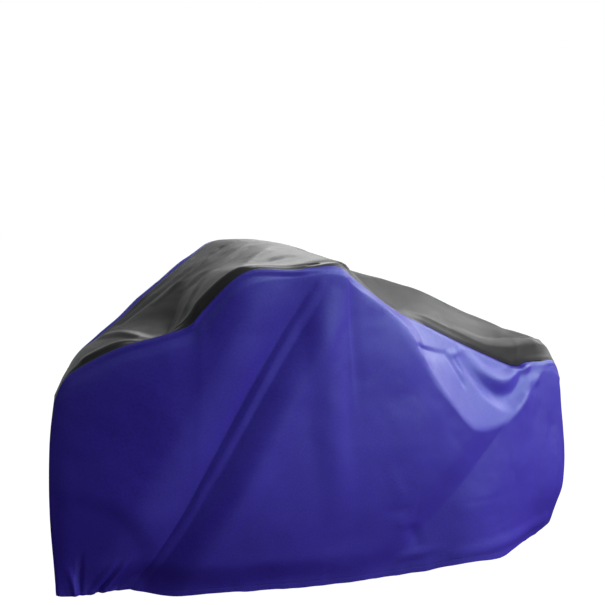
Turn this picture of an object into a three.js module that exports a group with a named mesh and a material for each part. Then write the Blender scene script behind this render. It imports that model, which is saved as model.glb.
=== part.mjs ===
// Fitted motorcycle cover as it hangs: two coloured side panels and a dark centre panel sewn between them.
// Millimetres, +Z up, front towards -X, rider's left towards -Y.
import * as THREE from 'three';

// Cloth, hem and seams
const CLOTH_THICKNESS = 2;
const HEM_THICKNESS = 4;
const HEM_SHARE = 0.1;
const HEM_STEP_SHARE = 0.03;
const SEAM_SETBACK = 0.2;

// Where the cover rests on the handlebar, as x, y and height above the ground; it becomes the origin
const REST_POINT = new THREE.Vector3(-250, 0, 1201.3);

// Mesh: longest step along the cover, rows between the lines of a side panel, strips across the centre panel
const LONGEST_STEP = 52;
const LOWER_ROWS = 4;
const MIDDLE_ROWS = 12;
const UPPER_ROWS = 3;
const STRIPS_ACROSS = 11;
const FOLD_SAMPLES = 24;
const NORMAL_STEP = 0.01;

// Softness of the bends, as shares of the cloth on each side of a bend
const BELLY_SOFTNESS = 0.4;
const EDGE_SOFTNESS = 0.18;
const SHOULDER_SOFTNESS = 0.35;
const CROWN_SOFTNESS = 0.45;
const REAR_BULGE = 12;

// How far from a seam, in section units, the folds die out
const SIDE_SEAM_FADE = 0.35;
const ROOF_SEAM_FADE = 0.5;

// Cross-sections, front to rear: x, distance from the centre plane and height above the ground.
// hem is the lower edge, belly the widest low line, setBack how far the right side sits behind the left.
const SECTIONS = [
  { at: 'front edge', hem: [-998, 42, 216], belly: [-1020, 50, 470], setBack: 64 },
  { at: 'nose front', hem: [-974, 57, 213], belly: [-994, 88, 457], setBack: 58 },
  { at: 'nose', hem: [-940, 70, 210], belly: [-950, 124, 442], setBack: 48 },
  { at: 'lower slope', hem: [-842, 112, 202], belly: [-850, 194, 446], setBack: 30 },
  { at: 'slope pinch', hem: [-745, 148, 191], belly: [-750, 248, 450], setBack: 12 },
  { at: 'slope lip', hem: [-680, 174, 185], belly: [-682, 277, 456], setBack: 4 },
  { at: 'slope', hem: [-640, 188, 182], belly: [-644, 290, 460], setBack: 0 },
  { at: 'lever', hem: [-520, 218, 176], belly: [-524, 315, 470], setBack: 0 },
  { at: 'bar front', hem: [-390, 230, 169], belly: [-392, 330, 480], setBack: 0 },
  { at: 'bar end', hem: [-245, 238, 160], belly: [-245, 336, 490], setBack: 0 },
  { at: 'bar drop', hem: [-170, 241, 157], belly: [-170, 336, 494], setBack: 0 },
  { at: 'tank', hem: [50, 248, 149], belly: [50, 344, 500], setBack: 0 },
  { at: 'seat front', hem: [212, 262, 152], belly: [220, 330, 480], setBack: 0 },
  { at: 'scoop front', hem: [345, 280, 160], belly: [365, 308, 440], setBack: 0 },
  { at: 'scoop rear', hem: [510, 256, 150], belly: [535, 262, 410], setBack: 0 },
  { at: 'seat rear', hem: [645, 202, 162], belly: [670, 218, 385], setBack: 0 },
  { at: 'tail corner', hem: [720, 160, 160], belly: [734, 198, 371], setBack: 0 },
  { at: 'tail', hem: [798, 128, 167], belly: [822, 172, 355], setBack: 0 },
  { at: 'rear corner', hem: [894, 88, 185], belly: [950, 110, 340], setBack: 0 },
  { at: 'rear edge', hem: [920, 46, 193], belly: [1004, 57, 350], setBack: 0 },
];

// The same cross-sections on the rider's left: the ridge line under the seam, and the seam itself
const LEFT_LINES = [
  { at: 'front edge', edge: [-1017, 52, 660], seam: [-999, 48, 772] },
  { at: 'nose front', edge: [-990, 84, 766], seam: [-978, 69, 838] },
  { at: 'nose', edge: [-950, 122, 804], seam: [-940, 98, 876] },
  { at: 'lower slope', edge: [-853, 195, 858], seam: [-850, 170, 933] },
  { at: 'slope pinch', edge: [-752, 261, 890], seam: [-749, 236, 967] },
  { at: 'slope lip', edge: [-686, 294, 918], seam: [-681, 269, 995] },
  { at: 'slope', edge: [-653, 312, 960], seam: [-651, 286, 1035] },
  { at: 'lever', edge: [-545, 358, 1082], seam: [-545, 340, 1141] },
  { at: 'bar front', edge: [-395, 376, 1112], seam: [-395, 366, 1145] },
  { at: 'bar end', edge: [-241, 384, 1116], seam: [-241, 374, 1147] },
  { at: 'bar drop', edge: [-181, 370, 1080], seam: [-180, 358, 1113] },
  { at: 'tank', edge: [23, 345, 965], seam: [52, 260, 999] },
  { at: 'seat front', edge: [195, 329, 739], seam: [222, 200, 937] },
  { at: 'scoop front', edge: [344, 313, 605], seam: [370, 172, 877] },
  { at: 'scoop rear', edge: [523, 263, 602], seam: [530, 150, 814] },
  { at: 'seat rear', edge: [663, 203, 658], seam: [675, 140, 764] },
  { at: 'tail corner', edge: [728, 165, 690], seam: [716, 136, 773] },
  { at: 'tail', edge: [806, 133, 733], seam: [805, 122, 770] },
  { at: 'rear corner', edge: [912, 100, 702], seam: [895, 93, 762] },
  { at: 'rear edge', edge: [966, 58, 610], seam: [967, 55, 694] },
];

// The same lines on the rider's right, where the seam lies on top of the slope instead of under it
const RIGHT_LINES = [
  { at: 'front edge', edge: [-947, 82, 660], seam: [-937, 78, 772] },
  { at: 'nose front', edge: [-921, 81, 772], seam: [-910, 66, 832] },
  { at: 'nose', edge: [-885, 72, 866], seam: [-878, 48, 890] },
  { at: 'lower slope', edge: [-800, 92, 927], seam: [-796, 68, 941] },
  { at: 'slope pinch', edge: [-718, 112, 980], seam: [-715, 88, 986] },
  { at: 'slope lip', edge: [-664, 138, 1012], seam: [-661, 114, 1017] },
  { at: 'slope', edge: [-625, 156, 1036], seam: [-622, 132, 1040] },
  { at: 'lever', edge: [-533, 199, 1081], seam: [-530, 174, 1086] },
  { at: 'bar front', edge: [-393, 268, 1145], seam: [-392, 242, 1151] },
  { at: 'bar end', edge: [-245, 338, 1190], seam: [-245, 310, 1200] },
  { at: 'bar drop', edge: [-171, 331, 1146], seam: [-171, 297, 1166] },
  { at: 'tank', edge: [25, 342, 989], seam: [52, 245, 1035] },
  { at: 'seat front', edge: [195, 330, 749], seam: [222, 195, 968] },
  { at: 'scoop front', edge: [344, 313, 608], seam: [370, 168, 905] },
  { at: 'scoop rear', edge: [523, 263, 604], seam: [530, 148, 842] },
  { at: 'seat rear', edge: [663, 203, 661], seam: [675, 136, 792] },
  { at: 'tail corner', edge: [728, 166, 694], seam: [720, 130, 788] },
  { at: 'tail', edge: [806, 135, 735], seam: [805, 120, 786] },
  { at: 'rear corner', edge: [912, 100, 704], seam: [895, 93, 768] },
  { at: 'rear edge', edge: [966, 58, 612], seam: [967, 55, 696] },
];

// The top between the two seams at the same cross-sections: y and height above the ground
const ROOF_LINES = [
  { at: 'front edge', leftShoulder: [-30, 776], crown: [12, 778], rightShoulder: [55, 777] },
  { at: 'nose front', leftShoulder: [-55, 839], crown: [0, 841], rightShoulder: [46, 837] },
  { at: 'nose', leftShoulder: [-82, 887], crown: [-20, 896], rightShoulder: [30, 896] },
  { at: 'lower slope', leftShoulder: [-156, 940], crown: [-32, 942], rightShoulder: [46, 943] },
  { at: 'slope pinch', leftShoulder: [-216, 980], crown: [-40, 984], rightShoulder: [60, 987] },
  { at: 'slope lip', leftShoulder: [-242, 1018], crown: [-46, 1021], rightShoulder: [82, 1018] },
  { at: 'slope', leftShoulder: [-256, 1057], crown: [-50, 1044], rightShoulder: [100, 1041] },
  { at: 'lever', leftShoulder: [-310, 1150], crown: [-60, 1110], rightShoulder: [140, 1089] },
  { at: 'bar front', leftShoulder: [-338, 1156], crown: [-20, 1168], rightShoulder: [210, 1154] },
  { at: 'bar end', leftShoulder: [-355, 1162], crown: [60, 1214], rightShoulder: [285, 1206] },
  { at: 'bar drop', leftShoulder: [-328, 1139], crown: [40, 1205], rightShoulder: [268, 1178] },
  { at: 'tank', leftShoulder: [-225, 1013], crown: [-20, 1130], rightShoulder: [215, 1062] },
  { at: 'seat front', leftShoulder: [-178, 963], crown: [-10, 1088], rightShoulder: [175, 1008] },
  { at: 'scoop front', leftShoulder: [-158, 905], crown: [0, 1048], rightShoulder: [145, 954] },
  { at: 'scoop rear', leftShoulder: [-145, 852], crown: [0, 982], rightShoulder: [125, 894] },
  { at: 'seat rear', leftShoulder: [-135, 838], crown: [0, 920], rightShoulder: [112, 862] },
  { at: 'tail corner', leftShoulder: [-127, 838], crown: [0, 897], rightShoulder: [104, 856] },
  { at: 'tail', leftShoulder: [-108, 836], crown: [0, 867], rightShoulder: [92, 848] },
  { at: 'rear corner', leftShoulder: [-62, 807], crown: [0, 830], rightShoulder: [62, 812] },
  { at: 'rear edge', leftShoulder: [-38, 704], crown: [0, 710], rightShoulder: [38, 706] },
];

// The big pleat of each side: its place along the sections at the edge line, and the room kept beside it
const PLEAT_TOP = 8.37;
const PLEAT_ROOM = 0.13;
const PLEAT_HALVINGS = 30;

// Folds of the side panels, each a curve in x and height. left and right are the half widths seen walking
// along the fold, heights stand at its start, bend and end, and crisp makes its crest sharper.
const FOLD_COLUMNS = ['at', 'start', 'bend', 'end', 'left', 'right', 'heights', 'crisp'];
const LEFT_FOLDS = [
  ['pleat crease', [-326, 1112], [-582, 718], [-806, 185], 140, 150, [-8, -66, -32], 0.8],
  ['pleat brow', [-262, 1095], [-462, 690], [-735, 250], 120, 105, [3, 20, 6], 0],
  ['hem curl', [-880, 202], [-330, 158], [150, 144], 110, 130, [-10, -30, 0], 0],
  ['bar end ridge', [-300, 1096], [-285, 745], [-180, 364], 80, 80, [4, 14, 2], 0],
  ['haunch crease', [600, 640], [370, 525], [50, 200], 150, 110, [0, -22, -8], 0.5],
  ['swag crest', [420, 806], [545, 678], [706, 764], 44, 40, [8, 14, 10], 0.2],
  ['swag hollow', [410, 755], [550, 606], [660, 700], 40, 56, [-6, -12, -6], 0.2],
  ['tucked edge', [285, 200], [560, 194], [835, 208], 46, 40, [3, 8, 5], 0],
  ['rear bump', [880, 512], [908, 420], [884, 330], 48, 50, [3, 9, 4], 0],
  ['wheel mark', [-965, 532], [-780, 500], [-748, 286], 46, 76, [5, 8, 7], 0.3],
  ['gather', [-938, 350], [-936, 285], [-936, 214], 30, 30, [0, -6, -9], 0],
  ['gather', [-862, 330], [-872, 275], [-890, 212], 32, 32, [0, 5, 8], 0],
  ['gather', [-818, 330], [-838, 280], [-856, 210], 30, 30, [0, -5, -8], 0],
  ['rear gather', [640, 260], [622, 205], [610, 146], 34, 34, [0, 3, 7], 0],
  ['rear gather', [770, 285], [752, 225], [738, 156], 34, 34, [0, -3, -7], 0],
];
const RIGHT_FOLDS = [
  ['pleat crease', [-330, 1160], [-478, 700], [-602, 175], 140, 140, [-8, -56, -26], 0.8],
  ['pleat brow', [-264, 1138], [-372, 700], [-515, 255], 120, 100, [3, 17, 5], 0],
  ['hem curl', [-830, 202], [-310, 158], [160, 144], 110, 130, [-10, -30, 0], 0],
  ['bar end ridge', [-190, 1130], [-160, 900], [-130, 600], 90, 80, [7, 5, 0], 0],
  ['haunch crease', [600, 645], [376, 528], [30, 205], 150, 110, [0, -20, -8], 0.5],
  ['swag crest', [400, 836], [535, 690], [698, 776], 44, 40, [8, 13, 9], 0.2],
  ['swag hollow', [396, 790], [540, 630], [650, 715], 40, 56, [-6, -10, -5], 0.2],
  ['tucked edge', [270, 200], [560, 194], [830, 208], 46, 40, [3, 7, 5], 0],
  ['wheel mark', [-890, 530], [-725, 505], [-690, 290], 46, 76, [5, 7, 5], 0.3],
  ['gather', [-845, 330], [-848, 270], [-858, 212], 32, 32, [0, -5, -8], 0],
  ['gather', [-760, 350], [-768, 280], [-785, 210], 34, 34, [0, 5, 8], 0],
  ['rear gather', [690, 270], [676, 210], [668, 150], 36, 36, [0, -4, -7], 0],
];

// Folds of the centre panel, each a curve in x and y
const CENTRE_FOLDS = [
  ['slope hollow', [-558, -48], [-645, -140], [-752, -190], 40, 150, [-4, -18, -26], 0.3],
  ['slope ridge', [-515, -62], [-645, -185], [-740, -222], 40, 40, [6, 9, 6], 0.3],
  ['shoulder roll', [-545, -312], [-648, -260], [-728, -234], 36, 44, [8, 10, 6], 0.2],
  ['slope foot', [-806, 20], [-790, -90], [-765, -176], 40, 40, [5, 8, 5], 0.2],
  ['bar crease', [-298, 164], [-405, 124], [-535, 45], 36, 36, [-7, -9, -5], 0.3],
  ['bar fold', [-325, 28], [-425, -36], [-552, -26], 34, 34, [6, 9, 6], 0.3],
  ['lever hollow', [-322, -116], [-345, -250], [-534, -316], 42, 40, [-8, -10, -5], 0.3],
  ['tail crease', [852, -66], [776, -108], [678, -132], 30, 36, [7, 9, 4], 0.3],
];

const BLUE_CLOTH = new THREE.MeshStandardMaterial({ color: 0x2f2383, roughness: 0.5, metalness: 0 });
const BLACK_CLOTH = new THREE.MeshStandardMaterial({ color: 0x2c2c2d, roughness: 0.5, metalness: 0 });

const LAST_SECTION = SECTIONS.length - 1;
const SIDE_BENDS = [0, BELLY_SOFTNESS, EDGE_SOFTNESS, 0];
const ROOF_BENDS = [0, SHOULDER_SOFTNESS, CROWN_SOFTNESS, SHOULDER_SOFTNESS, 0];
const SIDE_TOP = SIDE_BENDS.length - 1;
const EDGE_BEND = SIDE_TOP - 1;
const ROOF_FAR = ROOF_BENDS.length - 1;

function lengthwiseCurve(points) {
  return new THREE.CatmullRomCurve3(points, false, 'centripetal');
}

function sideCurves(lines, side) {
  const setBack = (row) => (side > 0 ? row.setBack : 0);
  const place = ([x, y, z], shift) => new THREE.Vector3(x + shift, side * y, z);
  return [
    lengthwiseCurve(SECTIONS.map((row) => place(row.hem, setBack(row)))),
    lengthwiseCurve(SECTIONS.map((row) => place(row.belly, setBack(row)))),
    lengthwiseCurve(lines.map((row) => place(row.edge, 0))),
    lengthwiseCurve(lines.map((row) => place(row.seam, 0))),
  ];
}

const LEFT_CURVES = sideCurves(LEFT_LINES, -1);
const RIGHT_CURVES = sideCurves(RIGHT_LINES, 1);

function roofCurve(line) {
  const points = ROOF_LINES.map((row, index) => {
    const left = LEFT_LINES[index].seam;
    const right = RIGHT_LINES[index].seam;
    const [y, z] = row[line];
    const share = (y + left[1]) / (right[1] + left[1]);
    return new THREE.Vector3(THREE.MathUtils.lerp(left[0], right[0], share), y, z);
  });
  return lengthwiseCurve(points);
}

const ROOF_CURVES = [
  LEFT_CURVES[SIDE_TOP],
  roofCurve('leftShoulder'),
  roofCurve('crown'),
  roofCurve('rightShoulder'),
  RIGHT_CURVES[SIDE_TOP],
];

// A point on the section drawn through the curves at one place, with its bends softened
function sectionPoint(curves, softness, along, across) {
  const knots = curves.map((curve) => curve.getPoint(along / LAST_SECTION));
  const bend = Math.round(across);
  const soft = softness[bend];
  if (soft > 0 && Math.abs(across - bend) < soft) {
    const before = knots[bend].clone().lerp(knots[bend - 1], soft);
    const after = knots[bend].clone().lerp(knots[bend + 1], soft);
    const share = (across - bend + soft) / (2 * soft);
    return new THREE.QuadraticBezierCurve3(before, knots[bend], after).getPoint(share);
  }
  const index = Math.min(Math.floor(across), knots.length - 2);
  return knots[index].clone().lerp(knots[index + 1], across - index);
}

function foldCurve(fold) {
  const [start, bend, end] = [fold.start, fold.bend, fold.end].map((p) => new THREE.Vector2(...p));
  return new THREE.QuadraticBezierCurve(start, bend, end).getPoints(FOLD_SAMPLES);
}

function prepareFolds(rows) {
  return rows.map((row) => {
    const fold = Object.fromEntries(FOLD_COLUMNS.map((column, index) => [column, row[index]]));
    return { ...fold, path: foldCurve(fold) };
  });
}

// Height of one fold at a spot: full on its curve, dying out over its half width on that side
function foldHeight(fold, spot) {
  let nearest = { distance: Infinity, place: 0, side: 0 };
  for (let index = 0; index < FOLD_SAMPLES; index += 1) {
    const begin = fold.path[index];
    const step = fold.path[index + 1].clone().sub(begin);
    const share = THREE.MathUtils.clamp(spot.clone().sub(begin).dot(step) / step.lengthSq(), 0, 1);
    const aside = spot.clone().sub(begin.clone().addScaledVector(step, share));
    const distance = aside.length();
    if (distance < nearest.distance) {
      const side = distance > 0 ? step.cross(aside) / (step.length() * distance) : 0;
      nearest = { distance, place: (index + share) / FOLD_SAMPLES, side };
    }
  }
  const width = THREE.MathUtils.lerp(fold.right, fold.left, (1 + nearest.side) / 2);
  const reach = Math.min(nearest.distance / width, 1);
  const shape = THREE.MathUtils.lerp((1 - reach * reach) ** 2, (1 - reach) ** 2, fold.crisp);
  const [low, middle, high] = fold.heights;
  const height = new THREE.QuadraticBezierCurve(
    new THREE.Vector2(0, low),
    new THREE.Vector2(0, middle),
    new THREE.Vector2(0, high),
  ).getPoint(nearest.place).y;
  return height * shape;
}

function totalHeight(folds, spot) {
  return folds.reduce((sum, fold) => sum + foldHeight(fold, spot), 0);
}

// Moves a point of a surface out along its normal by the folds that pass there
function foldedPoint(surface, along, across, outward, height) {
  const point = surface(along, across);
  if (height === 0) {
    return point;
  }
  const alongStep = surface(along + NORMAL_STEP, across).sub(surface(along - NORMAL_STEP, across));
  const acrossStep = surface(along, across + NORMAL_STEP).sub(surface(along, across - NORMAL_STEP));
  const normal = alongStep.cross(acrossStep).normalize();
  return point.addScaledVector(normal, outward * height);
}

function sidePoint(curves, folds, side, along, across) {
  const surface = (a, b) => {
    const place = THREE.MathUtils.clamp(a, 0, LAST_SECTION);
    return sectionPoint(curves, SIDE_BENDS, place, THREE.MathUtils.clamp(b, 0, SIDE_TOP));
  };
  const base = surface(along, across);
  const fade = Math.min((SIDE_TOP - across) / SIDE_SEAM_FADE, 1);
  const height = fade * totalHeight(folds, new THREE.Vector2(base.x, base.z));
  return foldedPoint(surface, along, across, -side, height);
}

function roofPoint(folds, along, across) {
  const surface = (a, b) => {
    const place = THREE.MathUtils.clamp(a, 0, LAST_SECTION);
    return sectionPoint(ROOF_CURVES, ROOF_BENDS, place, THREE.MathUtils.clamp(b, 0, ROOF_FAR));
  };
  const base = surface(along, across);
  const fade = Math.min(across / ROOF_SEAM_FADE, (ROOF_FAR - across) / ROOF_SEAM_FADE, 1);
  const height = fade * totalHeight(folds, new THREE.Vector2(base.x, base.y));
  return foldedPoint(surface, along, across, 1, height);
}

// The centre panel hanging down an end: the end of the roof carried down between the two side edges
function endPoint(along, leftEdge, rightEdge, row, across, bulge) {
  const top = sectionPoint(ROOF_CURVES, ROOF_BENDS, along, across);
  const leftTop = leftEdge[leftEdge.length - 1];
  const rightTop = rightEdge[rightEdge.length - 1];
  const share = (top.y - leftTop.y) / (rightTop.y - leftTop.y);
  const leftDrop = leftEdge[row].clone().sub(leftTop);
  const rightDrop = rightEdge[row].clone().sub(rightTop);
  const fall = 1 - row / (leftEdge.length - 1);
  const belly = bulge * Math.sin(Math.PI * share) * Math.sqrt(fall);
  return top.add(leftDrop.lerp(rightDrop, share)).add(new THREE.Vector3(belly, 0, 0));
}

function evenSteps(from, to, count) {
  return Array.from({ length: count }, (_, index) => from + ((to - from) * (index + 1)) / count);
}

function rowPlaces() {
  const hemTop = HEM_SHARE + HEM_STEP_SHARE;
  return [
    0,
    HEM_SHARE,
    hemTop,
    ...evenSteps(hemTop, 1, LOWER_ROWS),
    ...evenSteps(1, 2, MIDDLE_ROWS),
    ...evenSteps(2, SIDE_TOP, UPPER_ROWS),
  ];
}

function columnPlaces() {
  const places = [0];
  for (let section = 0; section < LAST_SECTION; section += 1) {
    const lengths = LEFT_CURVES.map((curve) => {
      const begin = curve.points[section];
      return begin.distanceTo(curve.points[section + 1]);
    });
    const count = Math.ceil(Math.max(...lengths) / LONGEST_STEP);
    places.push(...evenSteps(section, section + 1, count));
  }
  const clear = places.filter((place) => Math.abs(place - PLEAT_TOP) > PLEAT_ROOM);
  return [...clear, PLEAT_TOP].sort((first, second) => first - second);
}

// The x of a fold's path at one height; the path runs downwards
function pathPlace(path, height) {
  const lowest = path.length - 1;
  const index = path.findIndex((spot, step) => step > 0 && (spot.y <= height || step === lowest));
  const above = path[index - 1];
  const below = path[index];
  return THREE.MathUtils.mapLinear(height, above.y, below.y, above.x, below.x);
}

// Where the pleat crosses one row of a side panel, as a place along the sections
function pleatPlace(curves, path, across) {
  if (across >= EDGE_BEND) {
    return PLEAT_TOP;
  }
  let low = 0;
  let high = LAST_SECTION;
  for (let turn = 0; turn < PLEAT_HALVINGS; turn += 1) {
    const middle = (low + high) / 2;
    const point = sectionPoint(curves, SIDE_BENDS, middle, across);
    if (point.x < pathPlace(path, point.z)) {
      low = middle;
    } else {
      high = middle;
    }
  }
  return low;
}

// A column's place along the sections on one row: the columns lean so that one of them lies on the pleat
function leaningPlace(along, pleat) {
  return along <= PLEAT_TOP
    ? THREE.MathUtils.mapLinear(along, 0, PLEAT_TOP, 0, pleat)
    : THREE.MathUtils.mapLinear(along, PLEAT_TOP, LAST_SECTION, pleat, LAST_SECTION);
}

const ROWS = rowPlaces();
const COLUMNS = columnPlaces();
const HEM_ROW = 1;

// Grids of the outer face: grid[row][column], rows from the hem up, columns from the front to the rear
function sideGrid(curves, foldRows, side) {
  const folds = prepareFolds(foldRows);
  const crease = folds.find((fold) => fold.at === 'pleat crease');
  return ROWS.map((across) => {
    const pleat = pleatPlace(curves, crease.path, across);
    return COLUMNS.map((along) => sidePoint(curves, folds, side, leaningPlace(along, pleat), across));
  });
}

function centreGrid(left, right) {
  const folds = prepareFolds(CENTRE_FOLDS);
  const places = [0, ...evenSteps(0, ROOF_FAR, STRIPS_ACROSS)];
  const last = COLUMNS.length - 1;
  const edge = (grid, column) => grid.map((row) => row[column]);
  const endRow = (row, column, along, bulge) =>
    places.map((across) => endPoint(along, edge(left, column), edge(right, column), row, across, bulge));
  const topRow = ROWS.length - 1;
  const front = ROWS.slice(0, topRow).map((_, row) => endRow(row, 0, 0, 0));
  const roof = COLUMNS.map((along) => places.map((across) => roofPoint(folds, along, across)));
  const rear = ROWS.slice(0, topRow).map((_, row) => endRow(row, last, LAST_SECTION, REAR_BULGE));
  return [...front, ...roof, ...rear.reverse()];
}

// Triangles of a grid, every cell cut along the same diagonal so that the two faces of a panel stay parallel
function gridTriangles(grid, flipped) {
  const triangles = [];
  for (let row = 0; row + 1 < grid.length; row += 1) {
    for (let column = 0; column + 1 < grid[row].length; column += 1) {
      const near = grid[row][column];
      const far = grid[row + 1][column + 1];
      const ahead = [near, grid[row][column + 1], far];
      const above = [near, far, grid[row + 1][column]];
      triangles.push(flipped ? ahead.reverse() : ahead, flipped ? above.reverse() : above);
    }
  }
  return triangles;
}

const spotKey = (point) => point.toArray().map((value) => value.toFixed(3)).join(' ');

function sheetNormals(sheet) {
  const normals = new Map();
  for (const corners of gridTriangles(sheet.grid, sheet.flipped)) {
    const [a, b, c] = corners;
    const face = b.clone().sub(a).cross(c.clone().sub(a));
    for (const corner of corners) {
      const key = spotKey(corner);
      const sum = normals.get(key) ?? new THREE.Vector3();
      normals.set(key, sum.add(face));
    }
  }
  return normals;
}

// Normals halfway between the panels that meet at a point, so that the panels are mitred along the seams
function sharedNormals(sheets) {
  const normals = new Map();
  for (const sheet of sheets) {
    for (const [key, normal] of sheetNormals(sheet)) {
      const sum = normals.get(key) ?? new THREE.Vector3();
      normals.set(key, sum.add(normal.normalize()));
    }
  }
  return normals;
}

const countUp = (length) => Array.from({ length }, (_, index) => index);

// Seams as lists of grid places, each with the place just inside the panel
function sideSeams(rows, columns) {
  const top = rows - 1;
  const end = columns - 1;
  const spots = [
    ...countUp(rows).map((row) => [row, 0]),
    ...countUp(columns).slice(1, end).map((column) => [top, column]),
    ...countUp(rows).reverse().map((row) => [row, end]),
  ];
  const inside = ([row, column]) => [Math.min(row, top - 1), THREE.MathUtils.clamp(column, 1, end - 1)];
  return [spots.map((spot) => ({ spot, inside: inside(spot) }))];
}

function centreSeams(rows, columns) {
  const end = columns - 1;
  const seam = (column, next) => countUp(rows).map((row) => ({ spot: [row, column], inside: [row, next] }));
  return [seam(0, 1), seam(end, end - 1)];
}

// Draws the edge of a panel back from its seam, square to the mitre
function setBackSeam(seam, grid, normals) {
  const at = ([row, column]) => grid[row][column];
  return seam.map((place, index) => {
    const point = at(place.spot);
    const before = at(seam[Math.max(index - 1, 0)].spot);
    const after = at(seam[Math.min(index + 1, seam.length - 1)].spot);
    const aside = after.clone().sub(before).cross(normals.get(spotKey(point))).normalize();
    const inward = Math.sign(aside.dot(at(place.inside).clone().sub(point)));
    return point.clone().addScaledVector(aside, inward * SEAM_SETBACK);
  });
}

// The rim between the two faces of a panel, its cells cut towards the rear alike on both sides of a seam
function rimTriangles(edge, inner, outer, flipped) {
  const triangles = [];
  for (let here = 0; here + 1 < edge.length; here += 1) {
    const next = here + 1;
    const rearwards = edge[here].x < edge[next].x;
    const lower = [inner[here], inner[next], rearwards ? outer[next] : outer[here]];
    const upper = [rearwards ? inner[here] : inner[next], outer[next], outer[here]];
    triangles.push(flipped ? lower.reverse() : lower, flipped ? upper.reverse() : upper);
  }
  return triangles;
}

// Closed solid of one panel: outer face, inner face and the rim between them
function panelSolid(sheet, normals) {
  const { grid, flipped, seams, thickness } = sheet;
  const rows = grid.length;
  const columns = grid[0].length;
  const outer = grid.map((line) => line.map((point) => point.clone()));
  for (const seam of seams(rows, columns)) {
    const edge = setBackSeam(seam, grid, normals);
    seam.forEach(({ spot: [row, column] }, index) => {
      outer[row][column] = edge[index];
    });
  }
  const inner = outer.map((line, row) => line.map((point, column) => {
    const normal = normals.get(spotKey(grid[row][column])).clone().normalize();
    return point.clone().addScaledVector(normal, -thickness(row));
  }));
  const loop = (layer) => [
    ...layer[0],
    ...layer.slice(1).map((line) => line[columns - 1]),
    ...layer[rows - 1].slice(0, -1).reverse(),
    ...layer.slice(0, -1).map((line) => line[0]).reverse(),
  ];
  const rim = rimTriangles(loop(grid), loop(inner), loop(outer), flipped);
  const triangles = [...gridTriangles(outer, flipped), ...gridTriangles(inner, !flipped), ...rim];
  const geometry = new THREE.BufferGeometry().setFromPoints(triangles.flat());
  geometry.computeVertexNormals();
  return geometry;
}

function hemOrCloth(isHem) {
  return isHem ? HEM_THICKNESS : CLOTH_THICKNESS;
}

function panelMesh(name, sheet, normals, material) {
  const mesh = new THREE.Mesh(panelSolid(sheet, normals), material);
  mesh.name = name;
  return mesh;
}

const leftGrid = sideGrid(LEFT_CURVES, LEFT_FOLDS, -1);
const rightGrid = sideGrid(RIGHT_CURVES, RIGHT_FOLDS, 1);
const middleGrid = centreGrid(leftGrid, rightGrid);
const lastCentreRow = middleGrid.length - 1;
const sideThickness = (row) => hemOrCloth(row <= HEM_ROW);
const centreThickness = (row) => hemOrCloth(Math.min(row, lastCentreRow - row) <= HEM_ROW);

const leftSheet = { grid: leftGrid, flipped: false, seams: sideSeams, thickness: sideThickness };
const rightSheet = { grid: rightGrid, flipped: true, seams: sideSeams, thickness: sideThickness };
const centreSheet = { grid: middleGrid, flipped: true, seams: centreSeams, thickness: centreThickness };
const normals = sharedNormals([leftSheet, rightSheet, centreSheet]);

const cover = new THREE.Group();
cover.add(panelMesh('left_side_panel', leftSheet, normals, BLUE_CLOTH));
cover.add(panelMesh('right_side_panel', rightSheet, normals, BLUE_CLOTH));
cover.add(panelMesh('centre_panel', centreSheet, normals, BLACK_CLOTH));
cover.position.copy(REST_POINT).negate();

export default cover;
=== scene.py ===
"""Fitted motorcycle cover as it hangs: two blue side cloths sewn to a black centre cloth."""
import functools
import math
from typing import NamedTuple

import bpy
import numpy as np
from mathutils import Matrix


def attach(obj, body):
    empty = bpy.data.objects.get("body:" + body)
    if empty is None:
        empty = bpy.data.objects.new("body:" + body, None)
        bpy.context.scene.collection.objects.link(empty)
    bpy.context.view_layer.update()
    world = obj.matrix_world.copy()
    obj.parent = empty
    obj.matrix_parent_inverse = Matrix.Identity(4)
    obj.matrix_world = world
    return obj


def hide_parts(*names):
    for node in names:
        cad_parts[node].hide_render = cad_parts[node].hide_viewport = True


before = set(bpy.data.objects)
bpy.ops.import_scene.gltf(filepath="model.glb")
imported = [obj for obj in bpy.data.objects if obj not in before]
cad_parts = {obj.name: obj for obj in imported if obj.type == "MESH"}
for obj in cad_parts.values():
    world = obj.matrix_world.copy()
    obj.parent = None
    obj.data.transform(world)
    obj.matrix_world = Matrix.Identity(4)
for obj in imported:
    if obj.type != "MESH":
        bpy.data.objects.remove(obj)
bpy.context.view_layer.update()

bl_info = {
    "name": "Motorcycle cover",
    "version": (1, 0, 0),
    "blender": (4, 5, 0),
    "location": "View3D > Sidebar > Cover",
    "description": "Builds a fitted motorcycle cover as it hangs, with its seams, hem and folds",
    "category": "Add Mesh",
}

MM = 0.001
LEFT = -1
RIGHT = 1

# The drape is drawn in millimetres above the ground; this spot under the top becomes the origin
REST_POINT = np.array([-250.0, 0.0, 1201.3])

# Bends of a cross-section: softness as shares of the cloth on each side of a bend, the edge's by section
BELLY_SOFTNESS = 0.4
EDGE_SOFTNESS = ((0, 0.45), (6, 0.45), (8, 0.25), (11, 0.18), (12.4, 0.06), (16.8, 0.06), (17.6, 0.18))
ROOF_SOFTNESS = (0, 0.08, 0.45, 0.35, 0)

# Bulge of the rear face between its seams
REAR_BULGE = 12

# Grid of the cloth: steps along the front sections and the rest, rows up a side, strips across the centre
FRONT_STEP = 5.8
REAR_STEP = 8.2
FRONT_SECTIONS = 10
LOWER_ROWS = 28
MIDDLE_ROWS = 56
UPPER_ROWS = 34
STRIPS = (12, 25, 25, 12)

# Straight pieces in the curve of a fold
FOLD_SAMPLES = 24

# Relief dies out this far from a seam
SEAM_FADE = 22.0

# Where the big pleats leave the edge line, counted in sections; the rows below that line lean along the pleat
PLEAT_TOP = 8.37
PLEAT_SAMPLES = 1200
EDGE_LINE = 2

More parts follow.
